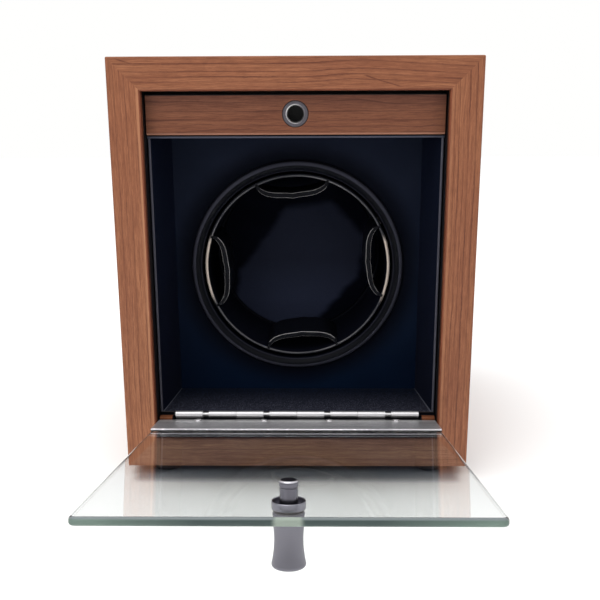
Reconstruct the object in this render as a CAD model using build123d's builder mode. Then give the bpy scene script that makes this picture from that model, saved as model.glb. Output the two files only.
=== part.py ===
from build123d import *
from math import sin, cos, radians
import os

os.makedirs("parts", exist_ok=True)

# Table-top winder for one wristwatch: a mitred walnut case with a drop-down
# glass door, a black padded chamber and a motor-driven cup.
# Millimetres. X to the right, Y to the back, Z up. The origin is on the surface
# that the rubber feet stand on, midway between the case's sides, and midway
# between the back of the case and the free edge of the open door.

# ---------------------------------------------------------------- case
W = 180.0            # case width
D = 190.0            # case depth
H = 212.5            # case height without feet
T = 16.0             # case board thickness
FOOT_H = 5.0
R_LONG = 0.7         # rounding of the four long outer edges
R_FRONT = 0.6        # rounding of the outer front and rear edges
R_REVEAL = 0.9       # rounding of the front edges round the opening

YF = -16.7           # front plane; a depth d is y = YF + d
ZB = FOOT_H          # underside of the case
ZT = FOOT_H + H
OX = W / 2 - T       # half width of the opening
OZ0 = ZB + T         # floor and ceiling of the opening
OZ1 = ZT - T

# ---------------------------------------------------------------- front recess
D_RAIL = 6.3         # the hinge rail stands this far behind the front plane
CR_D = 7.8           # and the catch rail this far
RAIL_X = 73.3
SILL_TOP = 33.0      # top of the hinge rail
CR_Z0, CR_Z1 = 180.6, 200.2      # catch rail

# ---------------------------------------------------------------- chamber
D_LIP = 10.8         # front edge of the chamber boards
D_PANEL = 47.0       # front of the face panel
LIN_X0 = 72.2        # half width inside at the front
LIN_X1 = 67.6        # half width inside at the panel
LIN_T = 1.4
LIN_Z0, LIN_Z1 = 34.5, 178.9
PANEL_T = 5.0
ZC = 106.7           # height of the rotor axis

# ---------------------------------------------------------------- rotor
CUP_RI = 49.8
CUP_RO = 51.2
CUP_D0 = 46.0        # front rim
CUP_D1 = 96.0        # outside of the cup floor
BEZ_RO = 58.8
BEZ_RI = 52.8
LEAF_TWIST = 3.4     # the four leaves stand turned by this, counter-clockwise from the front
LEAF_HALF = 22.8     # half angle between the two ends of a leaf
TAB_T = 1.4          # tabs of the leaves, in the grooves of the cup
BEAD_R = 1.05        # rolled ends of the leaves
LEAF_D0, LEAF_D1 = 47.4, 80.0
SHAFT_R = 3.0
BELT_D = 128.0       # depth of the belt's plane
PUL_BIG = 35.0       # belt pitch radii: 35 / 7 = 5 turns of the motor per turn
PUL_SMALL = 7.0
MOT_DROP = 52.0      # motor axis below the rotor axis

# ---------------------------------------------------------------- door
AX_D = 8.5           # hinge axis, depth and height
AX_Z = 33.9
ALPHA = 11.5         # the open door slopes up towards its free edge by this
DOOR_X = 73.15       # half width of the hinge strip
GLASS_X = 73.7       # half width of the glass
GLASS_T = 3.2
GLASS_R = 1.3        # pencil-round edges of the glass
N_GLASS = -4.0       # inner face of the glass, measured from the hinge axis
N_STRIP = -2.45      # inner face of the hinge strip
S_STRIP0, S_STRIP1 = 3.2, 27.0
S_GLASS0, S_GLASS1 = 4.6, 167.2
S_KNOB = 156.7       # catch pin axis from the hinge axis
BARREL_R = 1.65
BARREL_X = 65.0
PIN_R = 0.9
SECTION = 32.5       # one section of the hinge
NOTCH = 3.3
SCREW_X = (-52.2, -17.2, 17.2, 52.2)      # screws of both hinge leaves

# ---------------------------------------------------------------- rear
D_COVER = 176.0
COVER_T = 4.0


def dy(d):
    """Plane across the case at depth d, drawn in X and Z."""
    return Plane.XZ.offset(-(YF + d))


# door frame: origin on the hinge axis, local x = X, local y = -s, normal = inner face up
_a = radians(ALPHA)
DOOR = Plane(origin=(0, YF + AX_D, AX_Z), x_dir=(1, 0, 0), z_dir=(0, sin(_a), cos(_a)))
# side view of the same frame: local x = s (towards the free edge), local y = n
DOOR_SIDE = Plane(origin=(0, YF + AX_D, AX_Z), x_dir=(0, -cos(_a), sin(_a)), z_dir=(-1, 0, 0))
ROT_AXIS = Axis((0, 0, ZC), (0, 1, 0))
YZ = Plane.YZ

# ================================================================ case boards
with BuildPart() as case_shell:
    with BuildSketch(dy(0)):
        with Locations((0, ZB + H / 2)):
            Rectangle(W, H)
            Rectangle(W - 2 * T, H - 2 * T, mode=Mode.SUBTRACT)
    extrude(amount=-D)
    fillet(case_shell.edges().filter_by(Axis.Y).filter_by(lambda e: abs(e.center().X) > W / 2 - 1), R_LONG)
    fillet(case_shell.faces().sort_by(Axis.Y)[0].outer_wire().edges(), R_FRONT)
    fillet(case_shell.faces().sort_by(Axis.Y)[0].inner_wires()[0].edges(), R_REVEAL)
    fillet(case_shell.faces().sort_by(Axis.Y)[-1].outer_wire().edges(), R_FRONT)
    # rebate that takes the rear cover
    with BuildSketch(dy(D + 1)):
        with Locations((0, ZB + H / 2)):
            Rectangle(W - 2 * T + 12, H - 2 * T + 12)
    extrude(amount=D - D_COVER + 1, mode=Mode.SUBTRACT)
    # pilot holes for the cover screws, in the ledge of the rebate
    with Locations(dy(D_COVER)):
        with Locations((-OX - 3, OZ0 + 30), (-OX - 3, OZ1 - 30), (OX + 3, OZ0 + 30), (OX + 3, OZ1 - 30),
                       (0, OZ1 + 3), (0, OZ0 - 3)):
            Cylinder(1.2, 24, mode=Mode.SUBTRACT)

M_TL = Plane(origin=(-W / 2, 0, ZT), z_dir=(1, 0, 1))
M_TR = Plane(origin=(W / 2, 0, ZT), z_dir=(-1, 0, 1))
M_BL = Plane(origin=(-W / 2, 0, ZB), z_dir=(-1, 0, 1))
M_BR = Plane(origin=(W / 2, 0, ZB), z_dir=(1, 0, 1))

with BuildPart() as case_top:
    add(case_shell.part)
    split(bisect_by=M_TL, keep=Keep.TOP)
    split(bisect_by=M_TR, keep=Keep.TOP)
case_top.part.label = "case_top"
export_step(case_top.part, "parts/case_top.step")

with BuildPart() as case_bottom:
    add(case_shell.part)
    split(bisect_by=M_BL, keep=Keep.BOTTOM)
    split(bisect_by=M_BR, keep=Keep.BOTTOM)
    with Locations((-71, YF + 12, ZB), (71, YF + 12, ZB), (-71, YF + D - 22, ZB), (71, YF + D - 22, ZB)):
        Cylinder(1.2, 24, mode=Mode.SUBTRACT)
case_bottom.part.label = "case_bottom"
export_step(case_bottom.part, "parts/case_bottom.step")

with BuildPart() as case_left:
    add(case_shell.part)
    split(bisect_by=M_TL, keep=Keep.BOTTOM)
    split(bisect_by=M_BL, keep=Keep.TOP)
case_left.part.label = "case_left"
export_step(case_left.part, "parts/case_left.step")

with BuildPart() as case_right:
    add(case_shell.part)
    split(bisect_by=M_TR, keep=Keep.BOTTOM)
    split(bisect_by=M_BR, keep=Keep.TOP)
case_right.part.label = "case_right"
export_step(case_right.part, "parts/case_right.step")

# ================================================================ feet
FEET = [(-71, YF + 12), (71, YF + 12), (-71, YF + D - 22), (71, YF + D - 22)]
with BuildPart() as rubber_feet:
    with BuildSketch(Plane.XY):
        with Locations(*FEET):
            Circle(8.5)
    extrude(amount=FOOT_H)
    fillet(rubber_feet.faces().filter_by(Plane.XY).group_by(Axis.Z)[0].edges(), 2.4)
    with BuildSketch(Plane.XY.offset(-0.1)):
        with Locations(*FEET):
            Circle(3.6)
    extrude(amount=2.7, mode=Mode.SUBTRACT)
    with BuildSketch(Plane.XY):
        with Locations(*FEET):
            Circle(1.5)
    extrude(amount=FOOT_H, mode=Mode.SUBTRACT)
rubber_feet.part.label = "rubber_feet"
export_step(rubber_feet.part, "parts/rubber_feet.step")

# ================================================================ rails in the front recess
LEAF_ROOM = BARREL_X + 1.0
with BuildPart() as hinge_rail:
    with BuildSketch(dy(D_RAIL)):
        with Locations((0, (OZ0 + SILL_TOP) / 2)):
            Rectangle(2 * RAIL_X, SILL_TOP - OZ0)
    extrude(amount=-(22.0 - D_RAIL))
    fillet(hinge_rail.faces().sort_by(Axis.Y)[0].edges().filter_by(Axis.X).sort_by(Axis.Z)[-1:], 0.7)
    # seat of the hinge leaf, and room for the leaf of the door in front of it
    with BuildSketch(Plane.XY.offset(31.0)):
        with Locations((0, YF + (9.4 + 20.4) / 2)):
            Rectangle(2 * LEAF_ROOM, 11.0)
    extrude(amount=5, mode=Mode.SUBTRACT)
    with BuildSketch(Plane.XY.offset(30.3)):
        with Locations((0, YF + (5.0 + 9.4) / 2)):
            Rectangle(2 * LEAF_ROOM, 4.4)
    extrude(amount=5, mode=Mode.SUBTRACT)
    with Locations(*[(x, YF + 16.2, 31.0) for x in SCREW_X]):
        Cylinder(0.9, 14, mode=Mode.SUBTRACT)
hinge_rail.part.label = "hinge_rail"
export_step(hinge_rail.part, "parts/hinge_rail.step")

with BuildPart() as lower_cleat:
    with BuildSketch(dy(22.0)):
        with Locations((0, (OZ0 + 33.1) / 2)):
            Rectangle(2 * RAIL_X, 33.1 - OZ0)
    extrude(amount=-(D_PANEL - 22.0))
    with Locations(dy(D_PANEL)):
        with Locations((-55, 27), (55, 27)):
            Cylinder(1.2, 24, mode=Mode.SUBTRACT)
lower_cleat.part.label = "lower_cleat"
export_step(lower_cleat.part, "parts/lower_cleat.step")

Z_KNOB = AX_Z + S_KNOB      # height of the catch with the door shut
with BuildPart() as catch_rail:
    with BuildSketch(dy(CR_D)):
        with Locations((0, (CR_Z0 + CR_Z1) / 2)):
            Rectangle(2 * RAIL_X, CR_Z1 - CR_Z0)
    extrude(amount=-(18.0 - CR_D))
    chamfer(catch_rail.faces().sort_by(Axis.Y)[0].edges().filter_by(Axis.X).sort_by(Axis.Z)[:1], 0.9)
    fillet(catch_rail.faces().sort_by(Axis.Y)[0].edges().filter_by(Axis.X).sort_by(Axis.Z)[-1:], 0.5)
    # counterbored seat of the catch receiver
    with Locations(dy(CR_D)):
        with Locations((0, Z_KNOB)):
            CounterBoreHole(4.95, 6.5, 1.2)
    with Locations(dy(18.0)):
        with Locations((-50, 190.5), (50, 190.5)):
            Cylinder(1.2, 9, mode=Mode.SUBTRACT)
catch_rail.part.label = "catch_rail"
export_step(catch_rail.part, "parts/catch_rail.step")

with BuildPart() as upper_cleat:
    with BuildSketch(dy(18.0)):
        with Locations((0, (180.3 + OZ1) / 2)):
            Rectangle(2 * RAIL_X, OZ1 - 180.3)
    extrude(amount=-(D_PANEL - 18.0))
    # counterbored holes for the screws of the catch rail
    with Locations(dy(32.0)):
        with Locations((-50, 190.5), (50, 190.5)):
            Cylinder(1.5, 60, mode=Mode.SUBTRACT)
    with BuildSketch(dy(28.0)):
        with Locations((-50, 190.5), (50, 190.5)):
            Circle(3.4)
    extrude(amount=-30, mode=Mode.SUBTRACT)
    with Locations(dy(D_PANEL)):
        with Locations((-30, 191), (30, 191)):
            Cylinder(1.2, 24, mode=Mode.SUBTRACT)
upper_cleat.part.label = "upper_cleat"
export_step(upper_cleat.part, "parts/upper_cleat.step")

# ================================================================ catch receiver
CATCH_AXIS = Axis((0, 0, Z_KNOB), (0, 1, 0))
with BuildPart() as catch_ring:
    with BuildSketch(YZ):
        with BuildLine():
            Polyline((YF + CR_D + 8.5, Z_KNOB + 4.1), (YF + CR_D + 8.5, Z_KNOB + 4.95),
                     (YF + CR_D + 1.2, Z_KNOB + 4.95), (YF + CR_D + 1.2, Z_KNOB + 6.5),
                     (YF + CR_D + 0.5, Z_KNOB + 6.5))
            Line((YF + CR_D + 0.5, Z_KNOB + 6.5), (YF + CR_D, Z_KNOB + 6.1))
            Line((YF + CR_D, Z_KNOB + 6.1), (YF + CR_D, Z_KNOB + 5.1))
            ThreePointArc((YF + CR_D, Z_KNOB + 5.1), (YF + CR_D + 0.35, Z_KNOB + 4.4), (YF + CR_D + 1.1, Z_KNOB + 4.1))
            Line((YF + CR_D + 1.1, Z_KNOB + 4.1), (YF + CR_D + 8.5, Z_KNOB + 4.1))
        make_face()
    revolve(axis=CATCH_AXIS)
catch_ring.part.label = "catch_ring"
export_step(catch_ring.part, "parts/catch_ring.step")

with BuildPart() as catch_insert:
    with BuildSketch(YZ):
        with BuildLine():
            Polyline((YF + CR_D + 1.6, Z_KNOB + 3.75), (YF + CR_D + 1.3, Z_KNOB + 4.05), (YF + CR_D + 1.3, Z_KNOB + 4.1),
                     (YF + CR_D + 10.0, Z_KNOB + 4.1), (YF + CR_D + 10.0, Z_KNOB), (YF + CR_D + 8.8, Z_KNOB),
                     (YF + CR_D + 8.8, Z_KNOB + 3.75), close=True)
        make_face()
    revolve(axis=CATCH_AXIS)
    # the spring fingers are slit lengthwise
    with BuildSketch(dy(CR_D)):
        with Locations((0, Z_KNOB)):
            with PolarLocations(3.95, 4, start_angle=45):
                Rectangle(0.9, 0.6)
    extrude(amount=-7.0, mode=Mode.SUBTRACT)
catch_insert.part.label = "catch_insert"
export_step(catch_insert.part, "parts/catch_insert.step")

# ================================================================ chamber boards
with BuildPart() as liner_floor:
    with BuildSketch(Plane.XY.offset(LIN_Z0 - LIN_T)):
        with Locations((0, YF + (D_LIP + D_PANEL) / 2)):
            Rectangle(2 * (LIN_X0 + LIN_T), D_PANEL - D_LIP)
    extrude(amount=LIN_T)
    fillet(liner_floor.faces().sort_by(Axis.Y)[0].edges().filter_by(Axis.X).sort_by(Axis.Z)[-1:], 0.5)
liner_floor.part.label = "liner_floor"
export_step(liner_floor.part, "parts/liner_floor.step")

with BuildPart() as liner_ceiling:
    with BuildSketch(Plane.XY.offset(LIN_Z1)):
        with Locations((0, YF + (D_LIP + D_PANEL) / 2)):
            Rectangle(2 * (LIN_X0 + LIN_T), D_PANEL - D_LIP)
    extrude(amount=LIN_T)
    fillet(liner_ceiling.faces().sort_by(Axis.Y)[0].edges().filter_by(Axis.X).sort_by(Axis.Z)[:1], 0.5)
liner_ceiling.part.label = "liner_ceiling"
export_step(liner_ceiling.part, "parts/liner_ceiling.step")

with BuildPart() as liner_left:
    with BuildSketch(Plane.XY.offset(LIN_Z0)):
        with BuildLine():
            Polyline((-LIN_X0, YF + D_LIP), (-LIN_X1, YF + D_PANEL), (-LIN_X1 - LIN_T, YF + D_PANEL),
                     (-LIN_X0 - LIN_T, YF + D_LIP), close=True)
        make_face()
    extrude(amount=LIN_Z1 - LIN_Z0)
    fillet(liner_left.edges().filter_by(Axis.Z).sort_by(Axis.Y)[:2].sort_by(Axis.X)[-1:], 0.5)
liner_left.part.label = "liner_left"
export_step(liner_left.part, "parts/liner_left.step")

with BuildPart() as liner_right:
    add(liner_left.part.mirror(Plane.YZ))
liner_right.part.label = "liner_right"
export_step(liner_right.part, "parts/liner_right.step")

PANEL_SCREWS = [(-55, 27), (55, 27), (-30, 191), (30, 191)]
LEGS = [(-62, ZC - 62), (62, ZC - 62), (-62, ZC + 62), (62, ZC + 62)]
with BuildPart() as face_panel:
    with BuildSketch(dy(D_PANEL)):
        with Locations((0, (OZ0 + OZ1) / 2)):
            Rectangle(2 * 73.6, OZ1 - OZ0 - 0.4)
        with Locations((0, ZC)):
            Circle(54.5, mode=Mode.SUBTRACT)
        with Locations(*PANEL_SCREWS):
            Circle(1.5, mode=Mode.SUBTRACT)
    extrude(amount=-PANEL_T)
    # blind pilot holes for the legs of the drive bracket
    with BuildSketch(dy(D_PANEL + 1.6)):
        with Locations(*LEGS):
            Circle(1.2)
    extrude(amount=-4, mode=Mode.SUBTRACT)
face_panel.part.label = "face_panel"
export_step(face_panel.part, "parts/face_panel.step")

with BuildPart() as bezel_ring:
    with BuildSketch(YZ):
        with BuildLine():
            ThreePointArc((YF + D_PANEL, ZC + BEZ_RO), (YF + D_PANEL - 3.2, ZC + BEZ_RO - 1.0), (YF + D_PANEL - 4.3, ZC + BEZ_RO - 2.9))
            ThreePointArc((YF + D_PANEL - 4.3, ZC + BEZ_RO - 2.9), (YF + D_PANEL - 3.3, ZC + BEZ_RI + 1.2), (YF + D_PANEL - 1.2, ZC + BEZ_RI))
            Polyline((YF + D_PANEL - 1.2, ZC + BEZ_RI), (YF + D_PANEL + 9.0, ZC + BEZ_RI), (YF + D_PANEL + 9.0, ZC + 54.5),
                     (YF + D_PANEL, ZC + 54.5), (YF + D_PANEL, ZC + BEZ_RO))
        make_face()
    revolve(axis=ROT_AXIS)
bezel_ring.part.label = "bezel_ring"
export_step(bezel_ring.part, "parts/bezel_ring.step")

# ================================================================ rotor
with BuildPart() as rotor_cup:
    with BuildSketch(YZ):
        with BuildLine():
            Polyline((YF + CUP_D0 + 0.6, ZC + CUP_RI), (YF + 93.2, ZC + CUP_RI - 0.6))
            RadiusArc((YF + 93.2, ZC + CUP_RI - 0.6), (YF + 94.0, ZC + CUP_RI - 1.4), 0.8)
            Polyline((YF + 94.0, ZC + CUP_RI - 1.4), (YF + 94.0, ZC), (YF + 104.4, ZC), (YF + 104.4, ZC + 8.0),
                     (YF + 97.0, ZC + 8.0), (YF + CUP_D1, ZC + 9.0), (YF + CUP_D1, ZC + CUP_RO - 5.0))
            RadiusArc((YF + CUP_D1, ZC + CUP_RO - 5.0), (YF + CUP_D1 - 5.0, ZC + CUP_RO), -5.0)
            Polyline((YF + CUP_D1 - 5.0, ZC + CUP_RO), (YF + CUP_D0 + 1.6, ZC + CUP_RO))
            ThreePointArc((YF + CUP_D0 + 1.6, ZC + CUP_RO), (YF + CUP_D0, ZC + CUP_RI + 0.95), (YF + CUP_D0 + 0.6, ZC + CUP_RI))
        make_face()
    revolve(axis=ROT_AXIS)
    with BuildSketch(dy(95.2)):
        with Locations((0, ZC)):
            Circle(SHAFT_R)
    extrude(amount=-12, mode=Mode.SUBTRACT)
    # grooves that take the ends of the four leaves
    with BuildSketch(dy(CUP_D0 - 1)):
        with Locations((0, ZC)):
            for k in range(4):
                for e in (-1, 1):
                    with PolarLocations(50.0, 1, start_angle=90 * k + LEAF_TWIST + e * LEAF_HALF):
                        Rectangle(1.5, TAB_T + 0.1)
    extrude(amount=-(LEAF_D1 - CUP_D0 + 1), mode=Mode.SUBTRACT)
rotor_cup.part.label = "rotor_cup"
export_step(rotor_cup.part, "parts/rotor_cup.step")


# half of a leaf's section, as (along, outwards) points from its middle to its rolled end
LEAF_IN = [(0, 38.1), (7.0, 38.75), (13.2, 39.75), (16.9, 41.45), (19.15, 43.6)]
LEAF_OUT = [(0, 40.8), (6.8, 41.4), (12.7, 42.2), (15.8, 43.4), (17.9, 44.9)]
LEAVES = {}
for k, nm in enumerate(("right", "top", "left", "bottom")):
    a = radians(90 * k + LEAF_TWIST)
    with BuildPart() as leaf:
        with BuildSketch(dy(LEAF_D0)):
            for e in (1, -1):
                pin = [(cos(a) * r - sin(a) * t * e, ZC + sin(a) * r + cos(a) * t * e) for t, r in LEAF_IN]
                pout = [(cos(a) * r - sin(a) * t * e, ZC + sin(a) * r + cos(a) * t * e) for t, r in LEAF_OUT]
                with BuildLine():
                    Spline(*pin)
                    Line(pin[-1], pout[-1])
                    Spline(*pout)
                    Line(pout[0], pin[0])
                make_face()
            with Locations((0, ZC)):
                for e in (-1, 1):
                    with PolarLocations(48.1, 1, start_angle=90 * k + LEAF_TWIST + e * LEAF_HALF):
                        Circle(BEAD_R)
                    with PolarLocations(49.3, 1, start_angle=90 * k + LEAF_TWIST + e * LEAF_HALF):
                        Rectangle(2.8, TAB_T)
        extrude(amount=-(LEAF_D1 - LEAF_D0))
        fillet(leaf.faces().sort_by(Axis.Y)[0].edges().filter_by(lambda q: q.length > 6), 0.35)
    leaf.part.label = "leaf_" + nm
    export_step(leaf.part, "parts/leaf_" + nm + ".step")
    LEAVES[nm] = leaf

with BuildPart() as cup_pad:
    with BuildSketch(dy(92.6)):
        with Locations((0, ZC)):
            Circle(47.6)
    extrude(amount=-1.4)
    fillet(cup_pad.faces().sort_by(Axis.Y)[0].edges(), 0.5)
cup_pad.part.label = "cup_pad"
export_step(cup_pad.part, "parts/cup_pad.step")

with BuildPart() as rotor_shaft:
    with BuildSketch(dy(95.2)):
        with Locations((0, ZC)):
            Circle(SHAFT_R)
    extrude(amount=-(139.0 - 95.2))
    chamfer(rotor_shaft.faces().sort_by(Axis.Y)[-1].edges(), 0.4)
    with BuildSketch(dy(136.6)):
        with Locations((0, ZC)):
            Circle(SHAFT_R + 1)
            Circle(SHAFT_R - 0.5, mode=Mode.SUBTRACT)
    extrude(amount=-0.9, mode=Mode.SUBTRACT)
rotor_shaft.part.label = "rotor_shaft"
export_step(rotor_shaft.part, "parts/rotor_shaft.step")

with BuildPart() as driven_pulley:
    y0 = YF + BELT_D
    with BuildSketch(YZ):
        with BuildLine():
            Polyline((y0 - 3.0, ZC + 28.0), (y0 - 3.0, ZC + 36.6), (y0 - 2.1, ZC + 36.6), (y0 - 1.4, ZC + 33.7),
                     (y0 + 1.4, ZC + 33.7), (y0 + 2.1, ZC + 36.6), (y0 + 3.0, ZC + 36.6), (y0 + 3.0, ZC + 28.0),
                     (y0 + 1.0, ZC + 27.0), (y0 + 1.0, ZC + 8.5), (y0 + 8.4, ZC + 7.5), (y0 + 8.4, ZC + SHAFT_R),
                     (y0 - 4.4, ZC + SHAFT_R), (y0 - 4.4, ZC + 7.5), (y0 - 1.0, ZC + 8.5), (y0 - 1.0, ZC + 27.0),
                     close=True)
        make_face()
    revolve(axis=ROT_AXIS)
    with BuildSketch(dy(BELT_D - 2)):
        with Locations((0, ZC)):
            with PolarLocations(18.0, 6):
                Circle(6.2)
    extrude(amount=-4, mode=Mode.SUBTRACT)
driven_pulley.part.label = "driven_pulley"
export_step(driven_pulley.part, "parts/driven_pulley.step")

with BuildPart() as shaft_clip:
    with BuildSketch(dy(136.65)):
        with Locations((0, ZC)):
            Circle(5.6)
            Circle(SHAFT_R - 0.5, mode=Mode.SUBTRACT)
        with Locations((0, ZC - 4.0)):
            Rectangle(3.2, 5.0, mode=Mode.SUBTRACT)
    extrude(amount=-0.8)
shaft_clip.part.label = "shaft_clip"
export_step(shaft_clip.part, "parts/shaft_clip.step")

# ================================================================ drive bracket and bushings
with BuildPart() as drive_bracket:
    with BuildSketch(dy(110.0)):
        with Locations((0, ZC)):
            RectangleRounded(138, 138, 7)
        with Locations((-46, ZC), (46, ZC)):
            RectangleRounded(20, 62, 6, mode=Mode.SUBTRACT)
        with Locations((0, ZC + 46)):
            RectangleRounded(62, 20, 6, mode=Mode.SUBTRACT)
    extrude(amount=-3.5)
    with BuildSketch(dy(D_PANEL + PANEL_T)):
        with Locations(*LEGS):
            Circle(6.4)
    extrude(amount=-(110.0 - D_PANEL - PANEL_T))
    # bearing boss and its ribs
    with BuildSketch(dy(106.0)):
        with Locations((0, ZC)):
            Circle(9.0)
    extrude(amount=-16.0)
    with BuildSketch(dy(107.0)):
        with Locations((0, ZC)):
            Rectangle(64, 2.4)
            Rectangle(2.4, 64)
    extrude(amount=-4.0)
    with BuildSketch(dy(105.0)):
        with Locations((0, ZC)):
            Circle(5.0)
    extrude(amount=-20.0, mode=Mode.SUBTRACT)
    with BuildSketch(dy(50.0)):
        with Locations(*LEGS):
            Circle(1.7)
    extrude(amount=-70.0, mode=Mode.SUBTRACT)
    # holes for the motor spacers
    with BuildSketch(dy(105.0)):
        with Locations((-20, ZC - MOT_DROP), (20, ZC - MOT_DROP)):
            Circle(1.5)
    extrude(amount=-20.0, mode=Mode.SUBTRACT)
drive_bracket.part.label = "drive_bracket"
export_step(drive_bracket.part, "parts/drive_bracket.step")

with BuildPart() as bracket_screws:
    with BuildSketch(dy(D_PANEL + 1.8)):
        with Locations(*LEGS):
            Circle(1.2)
    extrude(amount=-(PANEL_T - 1.8))
    with BuildSketch(dy(D_PANEL + PANEL_T)):
        with Locations(*LEGS):
            Circle(1.5)
    extrude(amount=-(113.5 - D_PANEL - PANEL_T))
    with BuildSketch(dy(113.5)):
        with Locations(*LEGS):
            Circle(3.2)
    extrude(amount=-2.2)
    with BuildSketch(dy(114.6)):
        with Locations(*LEGS):
            Rectangle(3.6, 0.8)
            Rectangle(0.8, 3.6)
    extrude(amount=-1.5, mode=Mode.SUBTRACT)
bracket_screws.part.label = "bracket_screws"
export_step(bracket_screws.part, "parts/bracket_screws.step")

# flanged sleeves, one pressed in from each end of the boss
with BuildPart() as shaft_bushings:
    with BuildSketch(dy(105.0)):
        with Locations((0, ZC)):
            Circle(7.0)
    extrude(amount=-1.0)
    with BuildSketch(dy(106.0)):
        with Locations((0, ZC)):
            Circle(5.0)
    extrude(amount=-6.0)
    with BuildSketch(dy(116.0)):
        with Locations((0, ZC)):
            Circle(5.0)
    extrude(amount=-6.0)
    with BuildSketch(dy(122.0)):
        with Locations((0, ZC)):
            Circle(7.0)
    extrude(amount=-1.0)
    with BuildSketch(dy(104.0)):
        with Locations((0, ZC)):
            Circle(SHAFT_R + 0.05)
    extrude(amount=-20.0, mode=Mode.SUBTRACT)
shaft_bushings.part.label = "shaft_bushings"
export_step(shaft_bushings.part, "parts/shaft_bushings.step")

# ================================================================ motor group
ZM = ZC - MOT_DROP
MOT_AXIS = Axis((0, 0, ZM), (0, 1, 0))
with BuildPart() as motor_pulley:
    with BuildSketch(YZ):
        with BuildLine():
            Polyline((y0 - 3.5, ZM + 1.5), (y0 - 3.5, ZM + 9.0), (y0 - 2.1, ZM + 9.0), (y0 - 1.4, ZM + 5.7),
                     (y0 + 1.4, ZM + 5.7), (y0 + 2.1, ZM + 9.0), (y0 + 3.5, ZM + 9.0), (y0 + 3.5, ZM + 4.0),
                     (y0 + 6.0, ZM + 4.0), (y0 + 6.0, ZM + 1.5), close=True)
        make_face()
    revolve(axis=MOT_AXIS)
motor_pulley.part.label = "motor_pulley"
export_step(motor_pulley.part, "parts/motor_pulley.step")

with BuildPart() as motor_shaft:
    with BuildSketch(dy(122.5)):
        with Locations((0, ZM)):
            Circle(1.5)
    extrude(amount=-(146.0 - 122.5))
    chamfer(motor_shaft.faces().sort_by(Axis.Y)[0].edges(), 0.3)
motor_shaft.part.label = "motor_shaft"
export_step(motor_shaft.part, "parts/motor_shaft.step")

with BuildPart() as motor_spacers:
    with BuildSketch(dy(113.5)):
        with Locations((-20, ZM), (20, ZM)):
            RegularPolygon(3.6, 6)
            Circle(1.5, mode=Mode.SUBTRACT)
    extrude(amount=-(136.0 - 113.5))
motor_spacers.part.label = "motor_spacers"
export_step(motor_spacers.part, "parts/motor_spacers.step")

with BuildPart() as motor_screws:
    for x in (-20, 20):
        with BuildSketch(dy(110.0)):
            with Locations((x, ZM)):
                Circle(1.5)
        extrude(amount=-27.5)
        with BuildSketch(dy(137.5)):
            with Locations((x, ZM)):
                Circle(2.8)
        extrude(amount=-2.0)
        with BuildSketch(dy(107.8)):
            with Locations((x, ZM)):
                RegularPolygon(3.2, 6)
        extrude(amount=-2.2)
    with BuildSketch(dy(138.6)):
        with Locations((-20, ZM), (20, ZM)):
            Rectangle(3.2, 0.7)
            Rectangle(0.7, 3.2)
    extrude(amount=-1.5, mode=Mode.SUBTRACT)
motor_screws.part.label = "motor_screws"
export_step(motor_screws.part, "parts/motor_screws.step")

with BuildPart() as gearbox_case:
    # flange with two ears, then the round gear housing behind it
    with BuildSketch(dy(136.0)):
        with Locations((0, ZM)):
            SlotOverall(52, 12)
            Circle(12.5)
        with Locations((-20, ZM), (20, ZM)):
            Circle(1.5, mode=Mode.SUBTRACT)
    extrude(amount=-1.5)
    with BuildSketch(dy(137.5)):
        with Locations((0, ZM)):
            Circle(12.5)
    extrude(amount=-11.5)
    fillet(gearbox_case.faces().sort_by(Axis.Y)[-1].edges(), 0.6)
    with BuildSketch(dy(135.0)):
        with Locations((0, ZM)):
            Circle(3.9)
    extrude(amount=-1.0)
    with BuildSketch(dy(134.0)):
        with Locations((0, ZM)):
            Circle(1.56)
    extrude(amount=-12.4, mode=Mode.SUBTRACT)
gearbox_case.part.label = "gearbox_case"
export_step(gearbox_case.part, "parts/gearbox_case.step")

with BuildPart() as motor_can:
    with BuildSketch(dy(149.0)):
        with Locations((0, ZM)):
            Circle(12.0)
            with Locations((0, 11.4), (0, -11.4)):
                Rectangle(30, 3.0, mode=Mode.SUBTRACT)
    extrude(amount=-17.0)
    with BuildSketch(dy(166.0)):
        with Locations((0, ZM)):
            Circle(9.6)
    extrude(amount=-1.6)
    with BuildSketch(dy(167.6)):
        with Locations((-5.5, ZM), (5.5, ZM)):
            Rectangle(2.0, 0.6)
    extrude(amount=-2.6)
motor_can.part.label = "motor_can"
export_step(motor_can.part, "parts/motor_can.step")

# round belt, held stretched over both pulleys
with BuildPart() as drive_belt:
    with BuildSketch(dy(BELT_D - 1.0)):
        with Locations((0, ZC)):
            Circle(PUL_BIG + 1.1)
        with Locations((0, ZM)):
            Circle(PUL_SMALL + 1.1)
        make_hull()
    extrude(amount=-2.0)
    with BuildSketch(dy(BELT_D - 1.0)):
        with Locations((0, ZC)):
            Circle(PUL_BIG - 0.9)
        with Locations((0, ZM)):
            Circle(PUL_SMALL - 0.9)
        make_hull()
    extrude(amount=-2.0, mode=Mode.SUBTRACT)
    fillet(drive_belt.edges().filter_by(lambda e: abs(e.center().Y - (YF + BELT_D)) > 0.9), 0.7)
drive_belt.part.label = "drive_belt"
export_step(drive_belt.part, "parts/drive_belt.step")

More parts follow.
